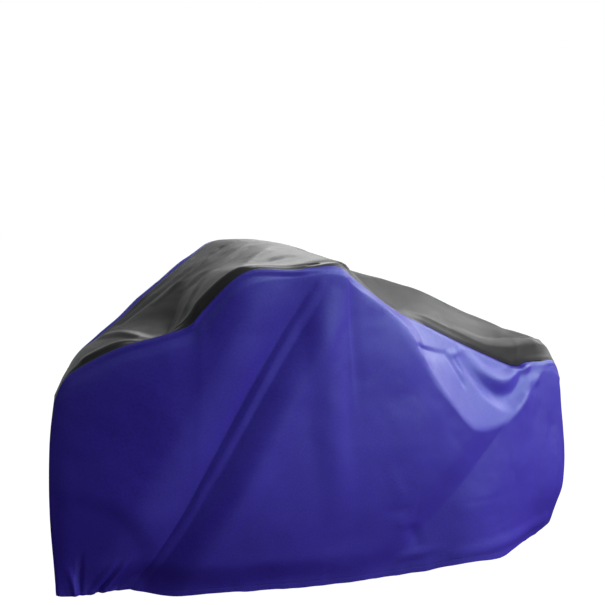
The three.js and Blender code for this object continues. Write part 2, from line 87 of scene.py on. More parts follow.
# Rolled edge below a seam: how far down it is highest, and where it ends
LIP_CREST = 4.5
LIP_END = 26.0

# Uneven hem: how far up it reaches, where and how much it is gathered at the front, and how far it moves
HEM_REACH = 46.0
GATHER_START = -650
GATHER_LENGTH = 250
FRONT_GATHER = 2.4
HEM_OUT = 0.55
HEM_LIFT = 0.5

# Turned hem: the step at its upper edge, its share outside the cloth, and the dip along its stitches
HEM_EASE = 4
HEM_SHARE = 0.5
STITCH_INSET = 3
STITCH_REACH = 3
STITCH_DIP = 0.6

# How far from a seam the cloth is drawn in
TUCK_REACH = 7.0

# Noise: cells along its lattice, and the shifts of the seeds that tell the cloths and their hems apart
LATTICE = 64
LEFT_CRUMPLES = 0
RIGHT_CRUMPLES = 40
CENTRE_CRUMPLES = 80
LEFT_HEM = 0
RIGHT_HEM = 100
CENTRE_HEM = 200
LIFT_SHIFT = 7

# Smallest distance that is divided by
TINY = 1e-6

# Edges of the mesh that bend by more than this stay sharp
SHARP_ANGLE = math.radians(75)

# Weave: threads per metre, thick and thin places, and height in metres
THREADS = 1600.0
SLUB_SCALE = 140.0
SLUB_DETAIL = 3.0
WEAVE_TONE = 0.04
WEAVE_HEIGHT = 0.00005
GRAIN_RANGE = (0.32, 0.68)
GRAIN_SHARE = 0.4

# Handling marks: bends of the creases, their width, the fine dents and the patches
BEND_SCALE = 5.0
BEND_REACH = 0.08
CREASE_WIDTH = 0.03
DENT_SCALE = 60.0
DENT_DETAIL = 4.0
DENT_SHARE = 0.08
PATCH_SCALE = 3.5
PATCH_DETAIL = 4.0
PATCH_RANGE = (0.3, 0.7)

# Stitch rows: distance from the seam and from the hem's edge, stitches per metre, and their thread and pull
SEAM_ROW = 0.006
HEM_ROW = 0.021
STITCHES = 260.0
STITCH_HALF = 0.36
THREAD_FALL = 1100.0
THREAD_HEIGHT = 0.0005
PULL_FALL = 240.0
PULL_DEPTH = 0.0004

SHEEN_ROUGHNESS = 0.35
WHITE = (1.0, 1.0, 1.0, 1.0)

# Camera: place in metres, tilt and turn in degrees, and width of its sensor
CAMERA_PLACE = (-2.42, -3.73, 0.1887)
CAMERA_TILT = 85.2
CAMERA_TURN = -34.4
SENSOR_WIDTH = 36

FLOOR_COLOUR = (0.1, 0.1, 0.1, 1.0)
FLOOR_ROUGHNESS = 0.9

# Wall of light: its direction, how wide it reaches, and its upper and lower fade as heights of the direction
WALL_DIRECTION = (0.6, 0.78, 0.15)
WALL_EDGES = (0.5, 0.9)
WALL_STRENGTH = 0.42
WALL_TOP = (0.55, 0.8)
WALL_REST = 0.15
WALL_FOOT = (-0.15, 0.0)

# Dim sky: its strength from the foot to the top
SKY_COLOUR = (0.98, 0.99, 1.0, 1.0)
SKY_HEIGHTS = (-0.2, 1.0)
SKY_RANGE = (0.02, 0.20)

# The paler front of the room, and the shaded spot in it behind the camera
FRONT_DIRECTION = (0.3, -0.86, 0.42)
FRONT_EDGES = (0.0, 0.9)
FRONT_STRENGTH = 0.45
SHADE_DIRECTION = (-0.42, -0.9, -0.05)
SHADE_EDGES = (0.75, 0.96)
SHADE_REST = 0.1


class Section(NamedTuple):
    """A cross-section: lower edge and widest low line, and how far the right side sits behind the left"""
    at: str
    hem: tuple
    belly: tuple
    set_back: float


class Lines(NamedTuple):
    """A side's ridge line under the seam, and the seam, at one cross-section"""
    at: str
    edge: tuple
    seam: tuple


class Roof(NamedTuple):
    """The top between the two seams at one cross-section, as y and height"""
    at: str
    left_shoulder: tuple
    crown: tuple
    right_shoulder: tuple


class Fold(NamedTuple):
    """A fold along a curve: half widths to the left and right of it, and heights at start, bend and end"""
    at: str
    start: tuple
    bend: tuple
    end: tuple
    left: float
    right: float
    heights: tuple
    crisp: float


class Crumple(NamedTuple):
    """Small unevenness of the cloth: the size of its cells and its height"""
    size: float
    height: float
    seed: int


class Finish(NamedTuple):
    """Look of one cloth: factors of its tones, and its thread, gloss, sheen and handling creases"""
    dark: float
    light: float
    grain: float
    thread: tuple
    roughness: tuple
    specular: float
    specular_tint: tuple
    sheen: float
    sheen_tint: tuple
    creases: float
    crease_height: float


class Softbox(NamedTuple):
    """A square light: place, the spot it is aimed at, side in metres and power in watts"""
    name: str
    place: tuple
    aim: tuple
    size: float
    power: float


SECTIONS = (
    Section("front edge", (-998, 42, 216), (-1020, 50, 470), 64),
    Section("nose front", (-974, 57, 213), (-994, 88, 457), 58),
    Section("nose", (-940, 70, 210), (-950, 124, 442), 48),
    Section("lower slope", (-842, 112, 202), (-850, 194, 446), 30),
    Section("slope pinch", (-745, 148, 191), (-750, 248, 450), 12),
    Section("slope lip", (-680, 174, 185), (-682, 277, 456), 4),
    Section("slope", (-640, 188, 182), (-644, 290, 460), 0),
    Section("lever", (-520, 218, 176), (-524, 315, 470), 0),
    Section("bar front", (-390, 230, 169), (-392, 330, 480), 0),
    Section("bar end", (-245, 238, 160), (-245, 336, 490), 0),
    Section("bar drop", (-170, 241, 157), (-170, 336, 494), 0),
    Section("tank", (50, 248, 149), (50, 344, 500), 0),
    Section("seat front", (212, 262, 152), (220, 330, 480), 0),
    Section("scoop front", (345, 280, 160), (365, 308, 440), 0),
    Section("scoop rear", (510, 256, 150), (535, 262, 410), 0),
    Section("seat rear", (645, 202, 162), (670, 218, 385), 0),
    Section("tail corner", (720, 160, 160), (734, 198, 371), 0),
    Section("tail", (798, 128, 167), (822, 172, 355), 0),
    Section("rear corner", (894, 88, 185), (950, 110, 340), 0),
    Section("rear edge", (920, 46, 193), (1004, 57, 350), 0),
)

LEFT_LINES = (
    Lines("front edge", (-1017, 52, 660), (-999, 48, 772)),
    Lines("nose front", (-990, 84, 766), (-978, 69, 838)),
    Lines("nose", (-950, 122, 804), (-940, 98, 876)),
    Lines("lower slope", (-853, 195, 858), (-850, 170, 933)),
    Lines("slope pinch", (-752, 261, 890), (-749, 236, 967)),
    Lines("slope lip", (-686, 294, 918), (-681, 269, 995)),
    Lines("slope", (-653, 312, 960), (-651, 286, 1035)),
    Lines("lever", (-545, 358, 1082), (-545, 340, 1141)),
    Lines("bar front", (-395, 376, 1112), (-395, 366, 1145)),
    Lines("bar end", (-241, 384, 1116), (-241, 374, 1147)),
    Lines("bar drop", (-181, 370, 1080), (-180, 358, 1113)),
    Lines("tank", (23, 345, 965), (52, 260, 999)),
    Lines("seat front", (195, 329, 739), (222, 200, 937)),
    Lines("scoop front", (344, 313, 605), (370, 172, 877)),
    Lines("scoop rear", (523, 263, 602), (530, 150, 814)),
    Lines("seat rear", (663, 203, 658), (675, 140, 764)),
    Lines("tail corner", (728, 165, 690), (716, 136, 773)),
    Lines("tail", (806, 133, 733), (805, 122, 770)),
    Lines("rear corner", (912, 100, 702), (895, 93, 762)),
    Lines("rear edge", (966, 58, 610), (967, 55, 694)),
)

RIGHT_LINES = (
    Lines("front edge", (-947, 82, 660), (-937, 78, 772)),
    Lines("nose front", (-921, 81, 772), (-910, 66, 832)),
    Lines("nose", (-885, 72, 866), (-878, 48, 890)),
    Lines("lower slope", (-800, 92, 927), (-796, 68, 941)),
    Lines("slope pinch", (-718, 112, 980), (-715, 88, 986)),
    Lines("slope lip", (-664, 138, 1012), (-661, 114, 1017)),
    Lines("slope", (-625, 156, 1036), (-622, 132, 1040)),
    Lines("lever", (-533, 199, 1081), (-530, 174, 1086)),
    Lines("bar front", (-393, 268, 1145), (-392, 242, 1151)),
    Lines("bar end", (-245, 338, 1190), (-245, 310, 1200)),
    Lines("bar drop", (-171, 331, 1146), (-171, 297, 1166)),
    Lines("tank", (25, 342, 989), (52, 245, 1035)),
    Lines("seat front", (195, 330, 749), (222, 195, 968)),
    Lines("scoop front", (344, 313, 608), (370, 168, 905)),
    Lines("scoop rear", (523, 263, 604), (530, 148, 842)),
    Lines("seat rear", (663, 203, 661), (675, 136, 792)),
    Lines("tail corner", (728, 166, 694), (720, 130, 788)),
    Lines("tail", (806, 135, 735), (805, 120, 786)),
    Lines("rear corner", (912, 100, 704), (895, 93, 768)),
    Lines("rear edge", (966, 58, 612), (967, 55, 696)),
)

ROOF_LINES = (
    Roof("front edge", (-30, 776), (12, 778), (55, 777)),
    Roof("nose front", (-55, 839), (0, 841), (46, 837)),
    Roof("nose", (-82, 887), (-20, 896), (30, 896)),
    Roof("lower slope", (-156, 940), (-32, 942), (46, 943)),
    Roof("slope pinch", (-216, 980), (-40, 984), (60, 987)),
    Roof("slope lip", (-242, 1018), (-46, 1021), (82, 1018)),
    Roof("slope", (-256, 1057), (-50, 1044), (100, 1041)),
    Roof("lever", (-310, 1150), (-60, 1110), (140, 1089)),
    Roof("bar front", (-338, 1156), (-20, 1168), (210, 1154)),
    Roof("bar end", (-355, 1162), (60, 1214), (285, 1206)),
    Roof("bar drop", (-328, 1139), (40, 1205), (268, 1178)),
    Roof("tank", (-225, 1013), (-20, 1130), (215, 1062)),
    Roof("seat front", (-189, 969), (-10, 1088), (175, 1008)),
    Roof("scoop front", (-164, 913), (0, 1048), (145, 954)),
    Roof("scoop rear", (-145, 852), (0, 982), (125, 894)),
    Roof("seat rear", (-135, 838), (0, 920), (112, 862)),
    Roof("tail corner", (-127, 838), (0, 897), (104, 856)),
    Roof("tail", (-108, 836), (0, 867), (92, 848)),
    Roof("rear corner", (-62, 807), (0, 830), (62, 812)),
    Roof("rear edge", (-38, 704), (0, 710), (38, 706)),
)

# Folds of the left cloth, as curves in x and height; walking down, left is the rear side
LEFT_FOLDS = (
    Fold("pleat crease", (-326, 1112), (-582, 718), (-806, 185), 140, 150, (-8, -66, -32), 0.85),
    Fold("pleat brow", (-262, 1095), (-462, 690), (-735, 250), 120, 105, (3, 20, 6), 0.0),
    Fold("pleat second", (-290, 1085), (-530, 700), (-760, 225), 100, 32, (-4, -26, -8), 0.5),
    Fold("hem curl", (-880, 202), (-330, 158), (150, 144), 110, 130, (-10, -30, 0), 0.0),
    Fold("bar end ridge", (-300, 1096), (-285, 745), (-180, 364), 80, 80, (4, 14, 2), 0.1),
    Fold("bar end line", (-206, 1096), (-186, 900), (-150, 700), 40, 12, (-2, -4, 0), 0.4),
    Fold("scoop triangle", (60, 968), (112, 934), (128, 896), 36, 30, (3, 7, 5), 0.2),
    Fold("scoop crease", (96, 892), (190, 866), (284, 842), 10, 40, (-4, -8, -3), 0.8),
    Fold("scoop fold", (288, 842), (322, 792), (348, 742), 20, 16, (-2, -6, -4), 0.5),
    Fold("scoop pucker", (312, 838), (342, 832), (370, 843), 14, 14, (3, 5, 3), 0.4),
    Fold("scoop pucker", (332, 822), (345, 800), (360, 782), 14, 14, (-2, -5, -3), 0.5),
    Fold("swag crest", (392, 838), (530, 655), (712, 772), 42, 42, (7, 19, 13), 0.3),
    Fold("swag hollow", (400, 812), (540, 590), (668, 728), 46, 52, (-6, -22, -10), 0.3),
    Fold("scoop rear facet", (600, 690), (680, 712), (760, 712), 30, 30, (2, 5, 4), 0.3),
    Fold("haunch crease", (600, 640), (370, 525), (50, 200), 150, 110, (0, -22, -8), 0.6),
    Fold("tucked edge", (285, 196), (560, 190), (835, 206), 40, 26, (3, 6, 4), 0.1),
    Fold("rear bump", (872, 505), (905, 420), (880, 335), 40, 46, (3, 7, 3), 0.1),
    Fold("rear hollow", (842, 560), (846, 520), (860, 470), 46, 36, (-2, -6, -2), 0.1),
    Fold("low star", (-12, 386), (34, 376), (82, 376), 14, 14, (-2, -6, -1), 0.6),
    Fold("low star", (28, 346), (70, 318), (122, 326), 14, 13, (2, 6, 1), 0.6),
    Fold("low star", (126, 426), (108, 392), (108, 352), 15, 14, (-1, -6, -2), 0.6),
    Fold("low star", (-24, 540), (2, 470), (40, 424), 18, 15, (1, 5, 2), 0.5),
    Fold("low star", (88, 318), (120, 290), (140, 250), 34, 30, (-2, -7, -3), 0.4),
    Fold("low star", (86, 212), (120, 216), (230, 224), 22, 20, (3, 7, 1), 0.3),
    Fold("rear crease", (270, 362), (380, 366), (488, 356), 10, 10, (0, -2, -1), 0.6),
    Fold("rear crease", (484, 308), (492, 265), (516, 222), 14, 16, (-1, -5, -2), 0.6),
    Fold("rear crease", (543, 490), (550, 445), (554, 398), 16, 16, (-1, -4, -1), 0.5),
    Fold("front bulge", (-965, 526), (-780, 494), (-748, 286), 110, 50, (2, 6, 5), 0.3),
    Fold("gather", (-945, 350), (-944, 295), (-938, 215), 12, 15, (0, -5, -8), 0.4),
    Fold("gather", (-976, 306), (-962, 270), (-945, 215), 12, 14, (0, 4, 7), 0.3),
    Fold("gather", (-852, 322), (-872, 285), (-905, 212), 16, 18, (0, 4, 8), 0.3),
    Fold("gather", (-838, 300), (-860, 265), (-888, 212), 12, 14, (0, -4, -7), 0.4),
    Fold("gather", (-818, 326), (-842, 285), (-874, 210), 14, 16, (0, 3, 6), 0.3),
    Fold("gather", (-786, 266), (-812, 245), (-842, 210), 14, 16, (0, -5, -7), 0.4),
)

RIGHT_FOLDS = (
    Fold("pleat crease", (-330, 1160), (-478, 700), (-602, 175), 140, 140, (-8, -56, -26), 0.85),
    Fold("pleat brow", (-264, 1138), (-372, 700), (-515, 255), 120, 100, (3, 17, 5), 0.0),
    Fold("pleat second", (-294, 1130), (-426, 690), (-546, 225), 100, 32, (-4, -22, -6), 0.5),
    Fold("hem curl", (-830, 202), (-310, 158), (160, 144), 110, 130, (-10, -30, 0), 0.0),
    Fold("bar end ridge", (-190, 1130), (-160, 900), (-130, 600), 90, 80, (7, 5, 0), 0.0),
    Fold("haunch crease", (600, 645), (376, 528), (30, 205), 150, 110, (0, -20, -8), 0.6),
    Fold("swag crest", (392, 842), (530, 670), (704, 780), 42, 26, (6, 12, 10), 0.3),
    Fold("swag hollow", (398, 815), (540, 610), (664, 735), 30, 56, (-5, -14, -7), 0.3),
    Fold("scoop crease", (110, 905), (190, 880), (290, 850), 10, 34, (-3, -6, -2), 0.6),
    Fold("scoop pucker", (318, 845), (350, 815), (360, 780), 15, 15, (2, 5, 2), 0.5),
    Fold("tucked edge", (270, 196), (560, 190), (830, 206), 40, 26, (3, 6, 4), 0.1),
    Fold("rear bump", (866, 500), (898, 425), (876, 340), 40, 46, (3, 6, 3), 0.1),
    Fold("low star", (-60, 470), (-10, 440), (60, 436), 16, 18, (-1, -4, -1), 0.6),
    Fold("low star", (40, 442), (60, 390), (52, 340), 15, 16, (1, 4, 1), 0.6),
    Fold("low star", (150, 330), (110, 300), (60, 300), 15, 16, (-1, -3, -1), 0.6),
    Fold("front bulge", (-890, 524), (-725, 500), (-690, 290), 110, 50, (2, 6, 4), 0.3),
    Fold("gather", (-846, 340), (-848, 285), (-860, 212), 14, 16, (0, -5, -8), 0.4),
    Fold("gather", (-800, 330), (-812, 280), (-830, 210), 14, 18, (0, 4, 7), 0.3),
    Fold("gather", (-752, 345), (-768, 285), (-790, 208), 16, 18, (0, -4, -7), 0.4),
    Fold("gather", (-715, 300), (-735, 255), (-752, 208), 14, 18, (0, 4, 6), 0.3),
)

# Folds of the centre cloth, as curves in x and y; walking forwards, left is the cover's own left
CENTRE_FOLDS = (
    Fold("slope hollow", (-530, 10), (-640, -60), (-752, -205), 125, 140, (-6, -38, -42), 0.8),
    Fold("slope ridge", (-520, -110), (-625, -165), (-738, -214), 30, 24, (5, 9, 6), 0.6),
    Fold("shoulder roll", (-545, -318), (-648, -268), (-728, -240), 18, 34, (3, 4, 3), 0.3),
    Fold("nose roll", (-745, -206), (-835, -150), (-915, -92), 20, 40, (6, 8, 5), 0.3),
    Fold("slope foot", (-806, 20), (-790, -90), (-765, -180), 34, 26, (6, 10, 6), 0.3),
    Fold("slope streak", (-330, 146), (-520, 70), (-740, 36), 18, 26, (-5, -8, -3), 0.5),
    Fold("slope streak", (-372, 100), (-520, 40), (-640, 22), 20, 18, (4, 6, 2), 0.4),
    Fold("slope streak", (-410, 200), (-600, 104), (-800, 58), 16, 20, (4, 7, 3), 0.4),
    Fold("bar fold", (-325, 28), (-425, -36), (-552, -26), 34, 40, (3, 4, 3), 0.3),
    Fold("bar fold hollow", (-330, -10), (-430, -80), (-548, -72), 40, 34, (-1, -3, -3), 0.3),
    Fold("slope streak", (-308, 52), (-362, 50), (-420, 44), 14, 16, (-2, -5, -2), 0.5),
    Fold("bar facet", (-300, -95), (-365, -140), (-436, -190), 30, 60, (4, 15, 5), 0.7),
    Fold("bar facet hollow", (-335, -235), (-380, -215), (-440, -225), 50, 26, (-3, -9, -3), 0.5),
    Fold("bar end facet", (-215, -352), (-275, -352), (-335, -360), 18, 26, (-6, -9, -4), 0.3),
    Fold("bar end point", (-186, -356), (-200, -345), (-214, -330), 12, 14, (5, 7, 2), 0.4),
    Fold("bar end streak", (-158, -340), (-175, -330), (-190, -300), 14, 16, (-5, -6, 0), 0.4),
    Fold("seat shoulder", (770, -110), (600, -124), (380, -150), 22, 60, (10, 14, 5), 0.8),
    Fold("seat sag", (560, -40), (330, -50), (120, -90), 60, 60, (-3, -5, -2), 0.0),
    Fold("seat fold", (500, 60), (300, 80), (60, 130), 34, 40, (3, 5, 3), 0.3),
    Fold("tail crease", (852, -66), (776, -108), (678, -132), 16, 34, (6, 9, 4), 0.8),
)

CRUMPLES = (
    Crumple(170, 2.6, 11),
    Crumple(74, 1.1, 12),
    Crumple(31, 0.42, 13),
)

HEM_WAVES = (
    Crumple(26, 1.5, 21),
    Crumple(58, 2.4, 22),
    Crumple(150, 3.0, 23),
)

# Height of the rolled edge of the side cloths under their seam, by x
LEFT_LIP = (
    (-1000, 1), (-900, 3), (-820, 4), (-760, 2), (-700, 4), (-672, 8), (-640, 6), (-560, 4), (-434, 5),
    (-375, 5), (-345, 3), (-300, 1), (1000, 1),
)
RIGHT_LIP = (
    (-1000, 1), (-860, 4), (-790, 6), (-640, 6), (-500, 4), (-430, 6), (-330, 3), (-240, 1), (1000, 1),
)

BLUE_FINISH = Finish(
    dark=0.92,
    light=1.06,
    grain=1.7,
    thread=(0.02, 0.015, 0.16, 1.0),
    roughness=(0.36, 0.44),
    specular=0.82,
    specular_tint=(0.56, 0.86, 1.0, 1.0),
    sheen=0.02,
    sheen_tint=(0.65, 0.85, 1.0, 1.0),
    creases=5.0,
    crease_height=0.0012,
)

BLACK_FINISH = Finish(
    dark=0.9,
    light=1.1,
    grain=1.5,
    thread=(0.012, 0.012, 0.013, 1.0),
    roughness=(0.36, 0.44),
    specular=0.47,
    specular_tint=WHITE,
    sheen=0.05,
    sheen_tint=WHITE,
    creases=6.0,
    crease_height=0.0012,
)

SOFTBOXES = (
    Softbox("key softbox", (6.9, -5.7, 3.4), (0.25, 0, -0.4), 6.0, 490),
    Softbox("side softbox", (4.97, 0.38, 1.71), (0.7, -0.1, -0.4), 2.8, 98),
    Softbox("back softbox", (2.86, 3.85, 2.64), (0.0, 0, -0.1), 1.9, 54),
)


def rail(points, places):
    """Centripetal Catmull-Rom curve through the points, at places counted in sections"""
    knots = np.asarray(points, float)
    ends = np.vstack([2 * knots[0] - knots[1], knots, 2 * knots[-1] - knots[-2]])
    index = np.clip(np.floor(places).astype(int), 0, len(knots) - 2)
    share = (places - index)[:, None]
    before, start, stop, after = (ends[index + step] for step in range(4))

    def spread(a, b):
        return np.sqrt(np.linalg.norm(b - a, axis=1))[:, None]

    first, middle, last = spread(before, start), spread(start, stop), spread(stop, after)
    leave = (start - before) / first - (stop - before) / (first + middle) + (stop - start) / middle
    arrive = (stop - start) / middle - (after - start) / (middle + last) + (after - stop) / last
    leave = leave * middle
    arrive = arrive * middle
    square = -3 * start + 3 * stop - 2 * leave - arrive
    cube = 2 * start - 2 * stop + leave + arrive
    return start + share * (leave + share * (square + share * cube))


def soft_section(curves, softness, places):
    """Rows of points across the curves, with the bends at the inner curves softened"""
    rows = []
    for place in places:
        bend = int(round(place))
        soft = softness[bend]
        index = min(int(place), len(curves) - 2)
        line = curves[index] + (curves[index + 1] - curves[index]) * (place - index)
        near = np.broadcast_to(abs(place - bend) < soft, len(line))[:, None]
        if near.any():
            soft = np.maximum(np.broadcast_to(soft, len(line)), abs(place - bend))[:, None]
            begin = curves[bend] + (curves[bend - 1] - curves[bend]) * soft
            stop = curves[bend] + (curves[bend + 1] - curves[bend]) * soft
            share = (place - bend + soft) / (2 * soft)
            bent = begin * (1 - share) ** 2 + 2 * curves[bend] * share * (1 - share) + stop * share ** 2
            line = np.where(near, bent, line)
        rows.append(line)
    return np.stack(rows)


def side_softness(places):
    """Softness of the bends of a side at places along the sections"""
    return 0, BELLY_SOFTNESS, np.interp(places, *zip(*EDGE_SOFTNESS)), 0


def steps(*counts):
    """Places from 0, with that many even steps in each unit"""
    runs = [index + np.arange(1, count + 1) / count for index, count in enumerate(counts)]
    return np.concatenate([[0.0], *runs])


def side_rails(side):
    """Hem, belly, edge and seam points of one side"""
    lines = LEFT_LINES if side == LEFT else RIGHT_LINES
    behind = [row.set_back if side == RIGHT else 0 for row in SECTIONS]
    low = [[(x + back, side * y, z) for (x, y, z), back in zip(points, behind)]
           for points in ([row.hem for row in SECTIONS], [row.belly for row in SECTIONS])]
    high = [[(x, side * y, z) for x, y, z in points]
            for points in ([row.edge for row in lines], [row.seam for row in lines])]
    return low + high


def roof_rails():
    """Seam, shoulder, crown, shoulder and seam points of the top"""
    left = side_rails(LEFT)[-1]
    right = side_rails(RIGHT)[-1]
    inner = []
    for line in ("left_shoulder", "crown", "right_shoulder"):
        points = []
        for row, near, far in zip(ROOF_LINES, left, right):
            y, z = getattr(row, line)
            share = (y - near[1]) / (far[1] - near[1])
            points.append((near[0] + (far[0] - near[0]) * share, y, z))
        inner.append(points)
    return [left, *inner, right]


def column_places():
    """Places along the cover, closer together over the front half"""
    counts = []
    rails = [np.asarray(points, float) for points in side_rails(LEFT)]
    for section in range(len(SECTIONS) - 1):
        length = max(np.linalg.norm(points[section + 1] - points[section]) for points in rails)
        counts.append(math.ceil(length / (FRONT_STEP if section < FRONT_SECTIONS else REAR_STEP)))
    return steps(*counts)


def smooth_step(value):
    """Eases from 0 to 1"""
    share = np.clip(value, 0, 1)
    return share * share * (3 - 2 * share)


def grid_normals(grid, sign):
    """Outward normals of a grid of points"""
    across = np.gradient(grid, axis=1)
    up = np.gradient(grid, axis=0)
    normals = sign * np.cross(across, up)
    return normals / np.linalg.norm(normals, axis=2, keepdims=True)


def fold_path(fold):
    """Points along the curve of a fold"""
    start, bend, end = (np.asarray(point, float) for point in (fold.start, fold.bend, fold.end))
    share = np.linspace(0, 1, FOLD_SAMPLES + 1)[:, None]
    return start * (1 - share) ** 2 + 2 * bend * share * (1 - share) + end * share ** 2


def fold_relief(folds, spots):
    """Height of all the folds at flat spots"""
    relief = np.zeros(len(spots))
    for fold in folds:
        path = fold_path(fold)
        reach = max(fold.left, fold.right)
        near = np.all((spots > path.min(0) - reach) & (spots < path.max(0) + reach), axis=1)
        piece = np.diff(path, axis=0)
        gap = spots[near][:, None] - path[:-1]
        place = np.clip((gap * piece).sum(2) / (piece ** 2).sum(1), 0, 1)
        offset = gap - place[..., None] * piece
        distance = np.linalg.norm(offset, axis=2)
        best = distance.argmin(1)
        pick = np.arange(len(best))
        distance = distance[pick, best]
        offset = offset[pick, best]
        cross = piece[best, 0] * offset[:, 1] - piece[best, 1] * offset[:, 0]
        side = cross / (np.linalg.norm(piece[best], axis=1) * np.maximum(distance, TINY))
        width = fold.right + (fold.left - fold.right) * (1 + side) / 2
        reached = np.minimum(distance / width, 1)
        shape = (1 - fold.crisp) * (1 - reached ** 2) ** 2 + fold.crisp * (1 - reached) ** 2
        travelled = (best + place[pick, best]) / FOLD_SAMPLES
        low, mid, high = fold.heights
        height = low * (1 - travelled) ** 2 + 2 * mid * travelled * (1 - travelled) + high * travelled ** 2
        relief[near] += height * shape
    return relief


def uneven(spots, size, seed):
    """Smooth noise between -1 and 1 with cells of that size"""
    lattice = np.random.default_rng(seed).uniform(-1, 1, (LATTICE, LATTICE))
    cell = spots / size
    low = np.floor(cell).astype(int)
    share = smooth_step(cell - low)
    corner = [[lattice[(low[:, 0] + i) % LATTICE, (low[:, 1] + j) % LATTICE] for j in (0, 1)] for i in (0, 1)]
    near = corner[0][0] + (corner[0][1] - corner[0][0]) * share[:, 1]
    far = corner[1][0] + (corner[1][1] - corner[1][0]) * share[:, 1]
    return near + (far - near) * share[:, 0]


def uneven_relief(rows, spots, shift):
    """Unevenness in several sizes, with the seeds shifted"""
    return sum(row.height * uneven(spots, row.size, row.seed + shift) for row in rows)


def run_lengths(grid, axis):
    """Distance along the grid from its first row or column"""
    length = np.linalg.norm(np.diff(grid, axis=axis), axis=2)
    return np.insert(np.cumsum(length, axis=axis), 0, 0, axis=axis)


class Sheet:
    """One cloth as a grid of points, with its distances from the hem and from the seams"""

    def __init__(self, grid, sign, hem_both_ends):
        self.grid = grid
        self.sign = sign
        self.along = run_lengths(grid, 1)
        self.up = run_lengths(grid, 0)
        self.from_rear = self.along[:, -1:] - self.along
        self.from_top = self.up[-1:] - self.up
        ends = np.minimum(self.along, self.from_rear)
        if hem_both_ends:
            self.hem = np.minimum(self.up, self.from_top)
            self.seam = ends
            self.seam_along = self.up
        else:
            self.hem = self.up
            self.seam = np.minimum(self.from_top, ends)
            self.seam_along = np.where(ends < self.from_top, self.up, self.along)
        self.hem_band = np.zeros_like(self.hem)
        self.refresh()

    def refresh(self):
        """Normals of the grid as it is now"""
        self.normals = grid_normals(self.grid, self.sign)


class Cut(NamedTuple):
    """Sizes of the sewn cloth in millimetres"""
    thickness: float
    hem_height: float
    hem_thickness: float
    seam_tuck: float
    seam_gap: float


class Seam(NamedTuple):
    """A side cloth's seam: its grid places, those of the centre cloth, and the normals that both share"""
    sheet: Sheet
    place: tuple
    match: tuple
    normals: np.ndarray


def leaning_places(columns, pleat):
    """The columns of one row, leaning so that one of them lies on the pleat"""
    last = len(SECTIONS) - 1
    return np.interp(columns, [0, PLEAT_TOP, last], [0, pleat, last])


def side_base(side, columns, rows):
    """The smooth surface of one side, rows from the hem up and columns from front to rear"""
    rails = side_rails(side)
    path = fold_path((LEFT_FOLDS if side == LEFT else RIGHT_FOLDS)[0])
    samples = np.linspace(0, len(SECTIONS) - 1, PLEAT_SAMPLES)
    curves = [rail(points, samples) for points in rails]
    grid = []
    for row in rows:
        pleat = PLEAT_TOP
        if row < EDGE_LINE:
            line = soft_section(curves, side_softness(samples), [row])[0]
            behind = line[:, 0] - np.interp(-line[:, 2], -path[:, 1], path[:, 0])
            pleat = np.interp(0, behind, samples)
        places = leaning_places(columns, pleat)
        lines = [rail(points, places) for points in rails]
        grid.append(soft_section(lines, side_softness(places), [row])[0])
    return np.stack(grid)


def centre_base(columns, strips, left, right):
    """The smooth surface of the centre: up the front, over the top and down the rear"""
    roof = soft_section([rail(points, columns) for points in roof_rails()], ROOF_SOFTNESS, strips)
    roof = roof.transpose(1, 0, 2)
    rows = []
    for column, bulge in ((0, 0), (-1, REAR_BULGE)):
        top = roof[column]
        share = ((top[:, 1] - top[0, 1]) / (top[-1, 1] - top[0, 1]))[:, None]
        fall = np.linspace(1, 0, len(left))
        face = []
        for row in range(len(left) - 1):
            near = left[row, column] - left[-1, column]
            far = right[row, column] - right[-1, column]
            line = top + near + (far - near) * share
            line[:, 0] += bulge * np.sin(math.pi * share[:, 0]) * math.sqrt(fall[row])
            face.append(line)
        rows.append(np.stack(face))
    return np.concatenate([rows[0], roof, rows[1][::-1]])


def lip_profile(distance):
    """Rolled edge below a seam: rises to its crest and runs out"""
    rise = smooth_step(distance / LIP_CREST)
    fall = 1 - smooth_step((distance - LIP_CREST) / (LIP_END - LIP_CREST))
    return rise * fall


def shape_side(sheet, side):
    """Folds, crumples and rolled edge of a side cloth"""
    shape = sheet.grid.shape[:2]
    spots = sheet.grid[..., [0, 2]].reshape(-1, 2)
    fade = smooth_step(sheet.seam / SEAM_FADE)
    folds = fold_relief(LEFT_FOLDS if side == LEFT else RIGHT_FOLDS, spots).reshape(shape)
    shift = LEFT_CRUMPLES if side == LEFT else RIGHT_CRUMPLES
    crumples = uneven_relief(CRUMPLES, spots, shift).reshape(shape)
    lip_x, lip_height = zip(*(LEFT_LIP if side == LEFT else RIGHT_LIP))
    lip = np.interp(sheet.grid[..., 0], lip_x, lip_height) * lip_profile(sheet.from_top)
    return fade * (folds + crumples) + lip * smooth_step(sheet.along / SEAM_FADE)


def shape_centre(sheet, rows, columns):
    """Folds and crumples of the centre cloth, the folds on its top alone"""
    shape = sheet.grid.shape[:2]
    fade = smooth_step(sheet.seam / SEAM_FADE)
    relief = np.zeros(shape)
    top = slice(rows - 1, rows - 1 + columns)
    top_spots = sheet.grid[top][..., :2].reshape(-1, 2)
    relief[top] = fold_relief(CENTRE_FOLDS, top_spots).reshape(columns, -1)
    flat = np.stack([sheet.up.ravel(), sheet.along.ravel()], axis=1)
    relief += uneven_relief(CRUMPLES, flat, CENTRE_CRUMPLES).reshape(shape)
    return fade * relief


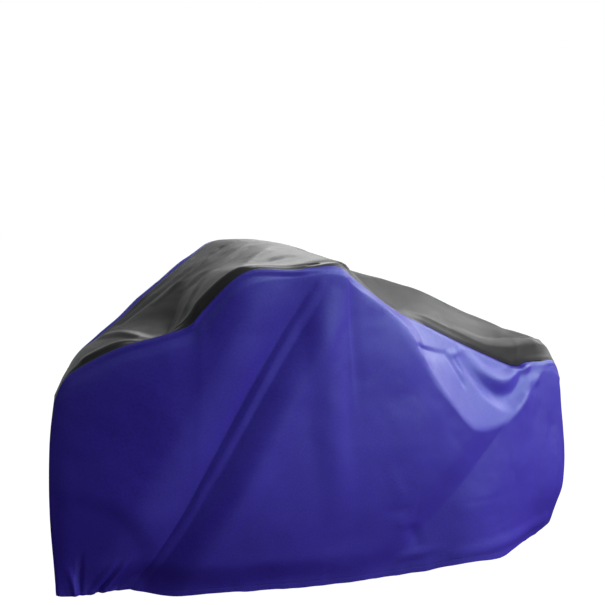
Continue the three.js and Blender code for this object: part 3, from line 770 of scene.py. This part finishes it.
def hem_moves(sheet, shift):
    """Uneven lower edge: puckers in and out, strongest at the front, and rises and dips"""
    shape = sheet.hem.shape
    spots = np.stack([sheet.along.ravel(), np.zeros(sheet.along.size)], axis=1)
    near = np.exp(-(sheet.hem / HEM_REACH) ** 2)
    front = 1 + (FRONT_GATHER - 1) * smooth_step((GATHER_START - sheet.grid[..., 0]) / GATHER_LENGTH)
    fade = smooth_step(sheet.seam / SEAM_FADE)
    out = uneven_relief(HEM_WAVES, spots, shift).reshape(shape)
    lift = uneven_relief(HEM_WAVES, spots, shift + LIFT_SHIFT).reshape(shape)
    return near * front * fade * HEM_OUT * out, near * fade * HEM_LIFT * lift


def finish_sheet(sheet, relief, cut, shift):
    """Moves a cloth out by its relief and adds the turned hem"""
    out, lift = hem_moves(sheet, shift)
    sheet.hem_band = 1 - smooth_step((sheet.hem - cut.hem_height) / HEM_EASE)
    stitch_dip = np.exp(-((sheet.hem - cut.hem_height + STITCH_INSET) / STITCH_REACH) ** 2)
    turned = sheet.hem_band * (cut.hem_thickness - cut.thickness) * HEM_SHARE
    relief = relief + out + turned - STITCH_DIP * stitch_dip
    sheet.grid = sheet.grid + sheet.normals * relief[..., None]
    sheet.grid[..., 2] += lift
    sheet.refresh()


def side_edges(sheet):
    """Grid places up the front edge, along the top and down the rear edge of a side cloth"""
    rows, columns = sheet.grid.shape[:2]
    climb = np.arange(rows - 1)
    row = np.concatenate([climb, np.full(columns, rows - 1), climb[::-1]])
    column = np.concatenate([np.zeros(rows - 1, int), np.arange(columns), np.full(rows - 1, columns - 1)])
    return row, column


def centre_edges(sheet, side):
    """Grid places of the centre cloth's edge along one side, matching side_edges"""
    count, columns = sheet.grid.shape[:2]
    return np.arange(count), np.full(count, 0 if side == LEFT else columns - 1)


def join_seam(sheet, centre, side):
    """Brings the edges of a side cloth and the centre cloth together"""
    place = side_edges(sheet)
    match = centre_edges(centre, side)
    normals = sheet.normals[place] + centre.normals[match]
    normals /= np.linalg.norm(normals, axis=1, keepdims=True)
    middle = (sheet.grid[place] + centre.grid[match]) / 2
    sheet.grid[place] = middle
    centre.grid[match] = middle
    return Seam(sheet, place, match, normals)


def side_seam_normals(seam):
    """For each point of a side cloth, the shared normal of the seam spot next to it"""
    sheet = seam.sheet
    rows, columns = sheet.grid.shape[:2]
    climb = rows - 1
    front = seam.normals[:rows]
    top = seam.normals[climb:climb + columns]
    rear = seam.normals[climb + columns - 1:][::-1]
    nearest = np.argmin(np.stack([sheet.from_top, sheet.along, sheet.from_rear]), axis=0)[..., None]
    choices = [top[None].repeat(rows, 0), front[:, None].repeat(columns, 1), rear[:, None].repeat(columns, 1)]
    return np.choose(nearest, choices)


def centre_seam_normals(sheet, left, right):
    """For each point of the centre cloth, the shared normal of the seam spot beside it"""
    columns = sheet.grid.shape[1]
    left_half = (np.arange(columns) < columns / 2)[None, :, None]
    return np.where(left_half, left.normals[:, None], right.normals[:, None])


def tuck_seams(sheet, edge_normals, cut):
    """Draws the cloth in along its seams"""
    depth = cut.seam_tuck * np.exp(-(sheet.seam / TUCK_REACH) ** 2)
    sheet.grid = sheet.grid - edge_normals * depth[..., None]


def part_seam(sheet, place, gap):
    """Draws the edge of a cloth back from its seam by half the gap"""
    rows, columns = sheet.grid.shape[:2]
    inside = (np.minimum(place[0], rows - 2), np.clip(place[1], 1, columns - 2))
    step = sheet.grid[inside] - sheet.grid[place]
    step /= np.linalg.norm(step, axis=1, keepdims=True)
    sheet.grid[place] = sheet.grid[place] + step * gap / 2


@functools.lru_cache(maxsize=1)
def drape(cut):
    """The three shaped cloths, sharing their seams"""
    columns = column_places()
    rows = steps(LOWER_ROWS, MIDDLE_ROWS, UPPER_ROWS)
    left = Sheet(side_base(LEFT, columns, rows), sign=1, hem_both_ends=False)
    right = Sheet(side_base(RIGHT, columns, rows), sign=-1, hem_both_ends=False)
    top = centre_base(columns, steps(*STRIPS), left.grid, right.grid)
    centre = Sheet(top, sign=-1, hem_both_ends=True)
    finish_sheet(left, shape_side(left, LEFT), cut, LEFT_HEM)
    finish_sheet(right, shape_side(right, RIGHT), cut, RIGHT_HEM)
    finish_sheet(centre, shape_centre(centre, len(rows), len(columns)), cut, CENTRE_HEM)
    left_seam = join_seam(left, centre, LEFT)
    right_seam = join_seam(right, centre, RIGHT)
    tuck_seams(left, side_seam_normals(left_seam), cut)
    tuck_seams(right, side_seam_normals(right_seam), cut)
    tuck_seams(centre, centre_seam_normals(centre, left_seam, right_seam), cut)
    for sheet in (left, right, centre):
        sheet.refresh()
    for seam in (left_seam, right_seam):
        seam.sheet.normals[seam.place] = seam.normals
        centre.normals[seam.match] = seam.normals
        part_seam(seam.sheet, seam.place, cut.seam_gap)
        part_seam(centre, seam.match, cut.seam_gap)
    return {"left": left, "right": right, "centre": centre}


def cloth_mesh(name, sheet, cut):
    """Closed mesh of a cloth: outer face, inner face and rim, with its measures as maps"""
    rows, columns = sheet.grid.shape[:2]
    count = rows * columns
    depth = cut.thickness + sheet.hem_band * (cut.hem_thickness - cut.thickness)
    inner = sheet.grid - sheet.normals * depth[..., None]
    points = (np.concatenate([sheet.grid.reshape(-1, 3), inner.reshape(-1, 3)]) - REST_POINT) * MM
    index = np.arange(count).reshape(rows, columns)
    quads = np.stack([index[:-1, :-1], index[:-1, 1:], index[1:, 1:], index[1:, :-1]], axis=-1)
    quads = quads.reshape(-1, 4)
    loop = np.concatenate([index[0, :-1], index[:-1, -1], index[-1, :0:-1], index[:0:-1, 0]])
    after = np.roll(loop, -1)
    rim = np.stack([loop + count, after + count, after, loop], axis=-1)
    if sheet.sign < 0:
        quads = quads[:, ::-1]
        rim = rim[:, ::-1]
    faces = np.concatenate([quads, quads[:, ::-1] + count, rim])
    mesh = bpy.data.meshes.new(name)
    mesh.from_pydata(points.tolist(), [], faces.tolist())
    maps = {
        "cloth": (sheet.along, sheet.up),
        "seam": (sheet.seam_along, sheet.seam),
        "hem": (sheet.along, sheet.hem),
    }
    corners = faces.ravel() % count
    for label, (across, up) in maps.items():
        layer = mesh.uv_layers.new(name=label)
        values = np.stack([across.ravel()[corners], up.ravel()[corners]], axis=1) * MM
        layer.data.foreach_set("uv", values.astype(np.float32).ravel())
    mesh.polygons.foreach_set("use_smooth", np.ones(len(faces), dtype=bool))
    mesh.set_sharp_from_angle(angle=SHARP_ANGLE)
    mesh.update()
    piece = bpy.data.objects.new(name, mesh)
    bpy.context.scene.collection.objects.link(piece)
    return piece


def new_group(name, inputs, outputs):
    """An empty shader group with float or vector inputs and float outputs"""
    group = bpy.data.node_groups.new(name, "ShaderNodeTree")
    for label, kind, default in inputs:
        socket = group.interface.new_socket(label, in_out="INPUT", socket_type=kind)
        if default is not None:
            socket.default_value = default
    for label in outputs:
        group.interface.new_socket(label, in_out="OUTPUT", socket_type="NodeSocketFloat")
    start = group.nodes.new("NodeGroupInput")
    stop = group.nodes.new("NodeGroupOutput")
    return group, start, stop


def math_node(tree, operation, *values):
    """A math node whose inputs are numbers or sockets"""
    node = tree.nodes.new("ShaderNodeMath")
    node.operation = operation
    for socket, value in zip(node.inputs, values):
        if isinstance(value, bpy.types.NodeSocket):
            tree.links.new(value, socket)
        else:
            socket.default_value = value
    return node.outputs[0]


def noise_node(tree, vector, scale, detail):
    """Noise over a vector, with cells per metre as scale"""
    node = tree.nodes.new("ShaderNodeTexNoise")
    node.inputs["Scale"].default_value = scale
    node.inputs["Detail"].default_value = detail
    tree.links.new(vector, node.inputs["Vector"])
    return node.outputs[0]


def weave_group():
    """Plain weave: threads over and under, with slight thick and thin places"""
    inputs = (("Cloth", "NodeSocketVector", None), ("Threads per metre", "NodeSocketFloat", THREADS))
    group, start, stop = new_group("Plain weave", inputs, ("Height", "Tone"))
    split = group.nodes.new("ShaderNodeSeparateXYZ")
    group.links.new(start.outputs["Cloth"], split.inputs[0])
    waves = []
    for axis in range(2):
        turns = math_node(group, "MULTIPLY", split.outputs[axis], start.outputs["Threads per metre"])
        waves.append(math_node(group, "SINE", math_node(group, "MULTIPLY", turns, math.pi)))
    over = math_node(group, "MULTIPLY", waves[0], waves[1])
    group.links.new(over, stop.inputs["Height"])
    slub = noise_node(group, start.outputs["Cloth"], SLUB_SCALE, SLUB_DETAIL)
    tone = math_node(group, "ADD", slub, math_node(group, "MULTIPLY", over, WEAVE_TONE))
    group.links.new(tone, stop.inputs["Tone"])
    return group


def handling_group():
    """Marks of folding and handling: soft creases and patches"""
    inputs = (("Cloth", "NodeSocketVector", None), ("Creases per metre", "NodeSocketFloat", None))
    group, start, stop = new_group("Handling marks", inputs, ("Height", "Patches"))
    drift = group.nodes.new("ShaderNodeTexNoise")
    drift.inputs["Scale"].default_value = BEND_SCALE
    group.links.new(start.outputs["Cloth"], drift.inputs["Vector"])
    shrink = group.nodes.new("ShaderNodeVectorMath")
    shrink.operation = "SCALE"
    shrink.inputs["Scale"].default_value = BEND_REACH
    group.links.new(drift.outputs["Color"], shrink.inputs[0])
    bent = group.nodes.new("ShaderNodeVectorMath")
    bent.operation = "ADD"
    group.links.new(start.outputs["Cloth"], bent.inputs[0])
    group.links.new(shrink.outputs[0], bent.inputs[1])
    cells = group.nodes.new("ShaderNodeTexVoronoi")
    cells.feature = "DISTANCE_TO_EDGE"
    group.links.new(bent.outputs[0], cells.inputs["Vector"])
    group.links.new(start.outputs["Creases per metre"], cells.inputs["Scale"])
    edge = math_node(group, "MINIMUM", cells.outputs["Distance"], CREASE_WIDTH)
    fine = noise_node(group, start.outputs["Cloth"], DENT_SCALE, DENT_DETAIL)
    height = math_node(group, "ADD", edge, math_node(group, "MULTIPLY", fine, DENT_SHARE))
    group.links.new(height, stop.inputs["Height"])
    patches = noise_node(group, start.outputs["Cloth"], PATCH_SCALE, PATCH_DETAIL)
    group.links.new(patches, stop.inputs["Patches"])
    return group


def sewing_group():
    """A row of stitches beside an edge: a mask of the thread and the pull of the row"""
    inputs = (
        ("Edge", "NodeSocketVector", None),
        ("Distance", "NodeSocketFloat", None),
        ("Stitches per metre", "NodeSocketFloat", STITCHES),
    )
    group, start, stop = new_group("Stitch row", inputs, ("Thread", "Pull"))
    split = group.nodes.new("ShaderNodeSeparateXYZ")
    group.links.new(start.outputs["Edge"], split.inputs[0])
    aside = math_node(group, "SUBTRACT", split.outputs[1], start.outputs["Distance"])
    away = math_node(group, "ABSOLUTE", aside)
    row = math_node(group, "SUBTRACT", 1.0, math_node(group, "MULTIPLY", away, THREAD_FALL))
    row = math_node(group, "MAXIMUM", row, 0.0)
    turn = math_node(group, "MULTIPLY", split.outputs[0], start.outputs["Stitches per metre"])
    phase = math_node(group, "FRACT", turn)
    middle = math_node(group, "ABSOLUTE", math_node(group, "SUBTRACT", phase, 0.5))
    stitch = math_node(group, "LESS_THAN", middle, STITCH_HALF)
    group.links.new(math_node(group, "MULTIPLY", row, stitch), stop.inputs["Thread"])
    pull = math_node(group, "SUBTRACT", 1.0, math_node(group, "MULTIPLY", away, PULL_FALL))
    group.links.new(math_node(group, "MAXIMUM", pull, 0.0), stop.inputs["Pull"])
    return group


def shared_group(name, make):
    """The group of that name, built on first use"""
    return bpy.data.node_groups.get(name) or make()


def place_group(tree, group, **values):
    """A group node with its own values"""
    node = tree.nodes.new("ShaderNodeGroup")
    node.node_tree = group
    for label, value in values.items():
        socket = node.inputs[label.replace("_", " ")]
        if isinstance(value, bpy.types.NodeSocket):
            tree.links.new(value, socket)
        else:
            socket.default_value = value
    return node


def mix_colour(tree, factor, first, second):
    """Mixes two colours, each a socket or a colour"""
    node = tree.nodes.new("ShaderNodeMix")
    node.data_type = "RGBA"
    tree.links.new(factor, node.inputs["Factor"])
    for label, value in (("A", first), ("B", second)):
        socket = next(item for item in node.inputs if item.name == label and item.type == "RGBA")
        if isinstance(value, bpy.types.NodeSocket):
            tree.links.new(value, socket)
        else:
            socket.default_value = value
    return next(item for item in node.outputs if item.type == "RGBA")


def stretch(tree, value, low, high, new_low, new_high):
    """Maps a range of values onto another, kept inside it"""
    node = tree.nodes.new("ShaderNodeMapRange")
    tree.links.new(value, node.inputs["Value"])
    labels = ("From Min", "From Max", "To Min", "To Max")
    for label, number in zip(labels, (low, high, new_low, new_high)):
        node.inputs[label].default_value = number
    return node.outputs[0]


def scaled(colour, factor):
    """A colour made lighter or darker"""
    return (*(min(channel * factor, 1.0) for channel in colour[:3]), 1.0)


def cloth_material(name, base, finish):
    """Coated woven cloth with stitched edges"""
    material = bpy.data.materials.new(name)
    material.use_nodes = True
    tree = material.node_tree
    shader = tree.nodes["Principled BSDF"]
    measure = {}
    for label in ("cloth", "seam", "hem"):
        node = tree.nodes.new("ShaderNodeUVMap")
        node.uv_map = label
        measure[label] = node.outputs[0]
    weave = place_group(tree, shared_group("Plain weave", weave_group), Cloth=measure["cloth"])
    marks = place_group(tree, shared_group("Handling marks", handling_group), Cloth=measure["cloth"],
                        Creases_per_metre=finish.creases)
    rows = [
        place_group(tree, shared_group("Stitch row", sewing_group), Edge=measure[label], Distance=distance)
        for label, distance in (("seam", SEAM_ROW), ("hem", HEM_ROW))
    ]

    tone = stretch(tree, marks.outputs["Patches"], *PATCH_RANGE, 0.0, 1.0)
    colour = mix_colour(tree, tone, scaled(base, finish.dark), scaled(base, finish.light))
    grain = stretch(tree, weave.outputs["Tone"], *GRAIN_RANGE, 0.0, GRAIN_SHARE)
    colour = mix_colour(tree, grain, colour, scaled(base, finish.grain))
    thread = math_node(tree, "MAXIMUM", rows[0].outputs["Thread"], rows[1].outputs["Thread"])
    colour = mix_colour(tree, thread, colour, finish.thread)
    tree.links.new(colour, shader.inputs["Base Color"])
    roughness = stretch(tree, marks.outputs["Patches"], *PATCH_RANGE, *finish.roughness)
    tree.links.new(roughness, shader.inputs["Roughness"])

    pull = math_node(tree, "MAXIMUM", rows[0].outputs["Pull"], rows[1].outputs["Pull"])
    height = math_node(tree, "MULTIPLY", marks.outputs["Height"], finish.crease_height)
    threads = math_node(tree, "MULTIPLY", weave.outputs["Height"], WEAVE_HEIGHT)
    height = math_node(tree, "ADD", height, threads)
    height = math_node(tree, "SUBTRACT", height, math_node(tree, "MULTIPLY", pull, PULL_DEPTH))
    height = math_node(tree, "ADD", height, math_node(tree, "MULTIPLY", thread, THREAD_HEIGHT))
    bump = tree.nodes.new("ShaderNodeBump")
    bump.inputs["Strength"].default_value = 1.0
    bump.inputs["Distance"].default_value = 1.0
    tree.links.new(height, bump.inputs["Height"])
    tree.links.new(bump.outputs[0], shader.inputs["Normal"])

    shader.inputs["Specular IOR Level"].default_value = finish.specular
    shader.inputs["Specular Tint"].default_value = finish.specular_tint
    shader.inputs["Sheen Weight"].default_value = finish.sheen
    shader.inputs["Sheen Roughness"].default_value = SHEEN_ROUGHNESS
    shader.inputs["Sheen Tint"].default_value = finish.sheen_tint
    return material


class CoverSizes(bpy.types.PropertyGroup):
    """Sizes of the sewn cloth"""
    thickness: bpy.props.FloatProperty(
        name="Cloth thickness", description="Thickness of the coated cloth as modelled",
        default=0.001, min=0.0002, unit="LENGTH", precision=4)
    hem_height: bpy.props.FloatProperty(
        name="Hem height", description="Height of the turned hem",
        default=0.024, min=0.005, unit="LENGTH")
    hem_thickness: bpy.props.FloatProperty(
        name="Hem thickness", description="Thickness of the turned hem with its cord",
        default=0.0026, min=0.0005, unit="LENGTH", precision=4)
    seam_tuck: bpy.props.FloatProperty(
        name="Seam tuck", description="How far the cloth is drawn in along a seam",
        default=0.0022, min=0.0, unit="LENGTH", precision=4)
    seam_gap: bpy.props.FloatProperty(
        name="Seam gap", description="Gap between two cloths along a seam",
        default=0.0001, min=0.00005, unit="LENGTH", precision=5)

    def cut(self):
        """The sizes in millimetres"""
        values = (self.thickness, self.hem_height, self.hem_thickness, self.seam_tuck, self.seam_gap)
        return Cut(*(round(value / MM, 4) for value in values))


class CoverColours(bpy.types.PropertyGroup):
    """Colours of the cloth"""
    blue: bpy.props.FloatVectorProperty(
        name="Blue", description="Colour of the side cloths",
        default=(0.046, 0.018, 0.45, 1), subtype="COLOR", size=4, min=0, max=1)
    black: bpy.props.FloatVectorProperty(
        name="Black", description="Colour of the centre cloth",
        default=(0.020, 0.020, 0.021, 1), subtype="COLOR", size=4, min=0, max=1)


class CoverStage(bpy.types.PropertyGroup):
    """Floor and camera"""
    floor_size: bpy.props.FloatProperty(
        name="Floor size", description="Side of the pale floor",
        default=60.0, unit="LENGTH")
    floor_height: bpy.props.FloatProperty(
        name="Floor height", description="Height of the floor, below the rest point",
        default=float(-REST_POINT[2] * MM), unit="LENGTH")
    lens: bpy.props.FloatProperty(
        name="Lens", description="Focal length of the camera",
        default=85.0, unit="CAMERA")


def add_cloth(name, sheet, cut, material, node):
    """A cloth as a piece of the part"""
    piece = cloth_mesh(name, sheet, cut)
    piece.data.materials.append(material)
    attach(piece, "root")
    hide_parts(node)


class COVER_OT_side_cloths(bpy.types.Operator):
    """Add the two blue side cloths"""
    bl_idname = "cover.side_cloths"
    bl_label = "Side cloths"

    def execute(self, context):
        cut = context.scene.cover_sizes.cut()
        sheets = drape(cut)
        material = cloth_material("blue_cloth", context.scene.cover_colours.blue, BLUE_FINISH)
        for side in ("left", "right"):
            add_cloth(f"{side}_side_cloth", sheets[side], cut, material, f"{side}_side_panel")
        return {"FINISHED"}


class COVER_OT_centre_cloth(bpy.types.Operator):
    """Add the black centre cloth"""
    bl_idname = "cover.centre_cloth"
    bl_label = "Centre cloth"

    def execute(self, context):
        cut = context.scene.cover_sizes.cut()
        material = cloth_material("black_cloth", context.scene.cover_colours.black, BLACK_FINISH)
        add_cloth("centre_cloth", drape(cut)["centre"], cut, material, "centre_panel")
        return {"FINISHED"}


def add_floor(stage):
    """Pale floor that neither tints nor mirrors in the cloth"""
    half = stage.floor_size / 2
    mesh = bpy.data.meshes.new("floor")
    corners = [(x * half, y * half, stage.floor_height) for x, y in ((-1, -1), (1, -1), (1, 1), (-1, 1))]
    mesh.from_pydata(corners, [], [(0, 1, 2, 3)])
    floor = bpy.data.objects.new("floor", mesh)
    bpy.context.scene.collection.objects.link(floor)
    material = bpy.data.materials.new("floor")
    material.use_nodes = True
    shader = material.node_tree.nodes["Principled BSDF"]
    shader.inputs["Base Color"].default_value = FLOOR_COLOUR
    shader.inputs["Roughness"].default_value = FLOOR_ROUGHNESS
    shader.inputs["Specular IOR Level"].default_value = 0.0
    shader.inputs["Emission Color"].default_value = WHITE
    shader.inputs["Emission Strength"].default_value = 1.0
    mesh.materials.append(material)
    floor.visible_diffuse = False
    floor.visible_glossy = False


def add_light(row):
    """Square softbox aimed at a spot"""
    light = bpy.data.lights.new(row.name, "AREA")
    light.shape = "SQUARE"
    light.size = row.size
    light.energy = row.power
    softbox = bpy.data.objects.new(row.name, light)
    softbox.location = row.place
    ahead, aside, up = np.asarray(row.aim) - np.asarray(row.place)
    softbox.rotation_euler = (math.atan2(math.hypot(ahead, aside), -up), 0, math.atan2(-ahead, aside))
    bpy.context.scene.collection.objects.link(softbox)


def lobe(tree, way, direction, edges, outside, inside):
    """A value that changes towards one direction of the sky"""
    facing = tree.nodes.new("ShaderNodeVectorMath")
    facing.operation = "DOT_PRODUCT"
    facing.inputs[1].default_value = direction
    tree.links.new(way, facing.inputs[0])
    return stretch(tree, facing.outputs["Value"], *edges, outside, inside)


def add_sky():
    """Dim sky with a bright wall of light behind the part, plain white for the camera"""
    world = bpy.data.worlds.new("studio")
    bpy.context.scene.world = world
    world.use_nodes = True
    tree = world.node_tree
    tree.nodes.clear()
    place = tree.nodes.new("ShaderNodeTexCoord")
    way = place.outputs["Generated"]
    split = tree.nodes.new("ShaderNodeSeparateXYZ")
    tree.links.new(way, split.inputs[0])
    height = split.outputs["Z"]

    wall = lobe(tree, way, WALL_DIRECTION, WALL_EDGES, 0.0, WALL_STRENGTH)
    below = stretch(tree, height, *WALL_TOP, 1.0, WALL_REST)
    above = stretch(tree, height, *WALL_FOOT, 0.0, 1.0)
    wall = math_node(tree, "MULTIPLY", math_node(tree, "MULTIPLY", wall, below), above)
    dim = stretch(tree, height, *SKY_HEIGHTS, *SKY_RANGE)
    dim = math_node(tree, "ADD", dim, lobe(tree, way, FRONT_DIRECTION, FRONT_EDGES, 0.0, FRONT_STRENGTH))
    dim = math_node(tree, "MULTIPLY", dim, lobe(tree, way, SHADE_DIRECTION, SHADE_EDGES, 1.0, SHADE_REST))

    sky = tree.nodes.new("ShaderNodeBackground")
    sky.inputs["Color"].default_value = SKY_COLOUR
    tree.links.new(math_node(tree, "ADD", wall, dim), sky.inputs["Strength"])
    plain = tree.nodes.new("ShaderNodeBackground")
    plain.inputs["Color"].default_value = WHITE
    path = tree.nodes.new("ShaderNodeLightPath")
    mix = tree.nodes.new("ShaderNodeMixShader")
    tree.links.new(path.outputs["Is Camera Ray"], mix.inputs["Fac"])
    tree.links.new(sky.outputs[0], mix.inputs[1])
    tree.links.new(plain.outputs[0], mix.inputs[2])
    output = tree.nodes.new("ShaderNodeOutputWorld")
    tree.links.new(mix.outputs[0], output.inputs["Surface"])


def add_camera(lens):
    """Camera at the photograph's viewing angle"""
    data = bpy.data.cameras.new("photo_camera")
    data.lens = lens
    data.sensor_width = SENSOR_WIDTH
    camera = bpy.data.objects.new("photo_camera", data)
    camera.location = CAMERA_PLACE
    camera.rotation_euler = (math.radians(CAMERA_TILT), 0, math.radians(CAMERA_TURN))
    bpy.context.scene.collection.objects.link(camera)
    bpy.context.scene.camera = camera


class COVER_OT_stage(bpy.types.Operator):
    """Add the floor, the studio light and the camera"""
    bl_idname = "cover.stage"
    bl_label = "Stage"

    def execute(self, context):
        stage = context.scene.cover_stage
        add_floor(stage)
        add_sky()
        for row in SOFTBOXES:
            add_light(row)
        add_camera(stage.lens)
        context.scene.view_settings.view_transform = "Standard"
        return {"FINISHED"}


class COVER_PT_panel(bpy.types.Panel):
    """Steps that build the cover"""
    bl_idname = "COVER_PT_panel"
    bl_label = "Motorcycle cover"
    bl_space_type = "VIEW_3D"
    bl_region_type = "UI"
    bl_category = "Cover"

    def draw(self, context):
        for group in (context.scene.cover_sizes, context.scene.cover_colours, context.scene.cover_stage):
            box = self.layout.box()
            for name in group.__annotations__:
                box.prop(group, name)
        for operator in (COVER_OT_side_cloths, COVER_OT_centre_cloth, COVER_OT_stage):
            self.layout.operator(operator.bl_idname)


CLASSES = (
    CoverSizes,
    CoverColours,
    CoverStage,
    COVER_OT_side_cloths,
    COVER_OT_centre_cloth,
    COVER_OT_stage,
    COVER_PT_panel,
)


def register():
    """Adds the classes and the settings"""
    for item in CLASSES:
        bpy.utils.register_class(item)
    bpy.types.Scene.cover_sizes = bpy.props.PointerProperty(type=CoverSizes)
    bpy.types.Scene.cover_colours = bpy.props.PointerProperty(type=CoverColours)
    bpy.types.Scene.cover_stage = bpy.props.PointerProperty(type=CoverStage)


def unregister():
    """Removes the settings and the classes"""
    del bpy.types.Scene.cover_sizes
    del bpy.types.Scene.cover_colours
    del bpy.types.Scene.cover_stage
    for item in reversed(CLASSES):
        bpy.utils.unregister_class(item)


def main():
    """Builds the cover and its stage"""
    register()
    bpy.ops.cover.side_cloths()
    bpy.ops.cover.centre_cloth()
    bpy.ops.cover.stage()


if __name__ == "__main__":
    main()
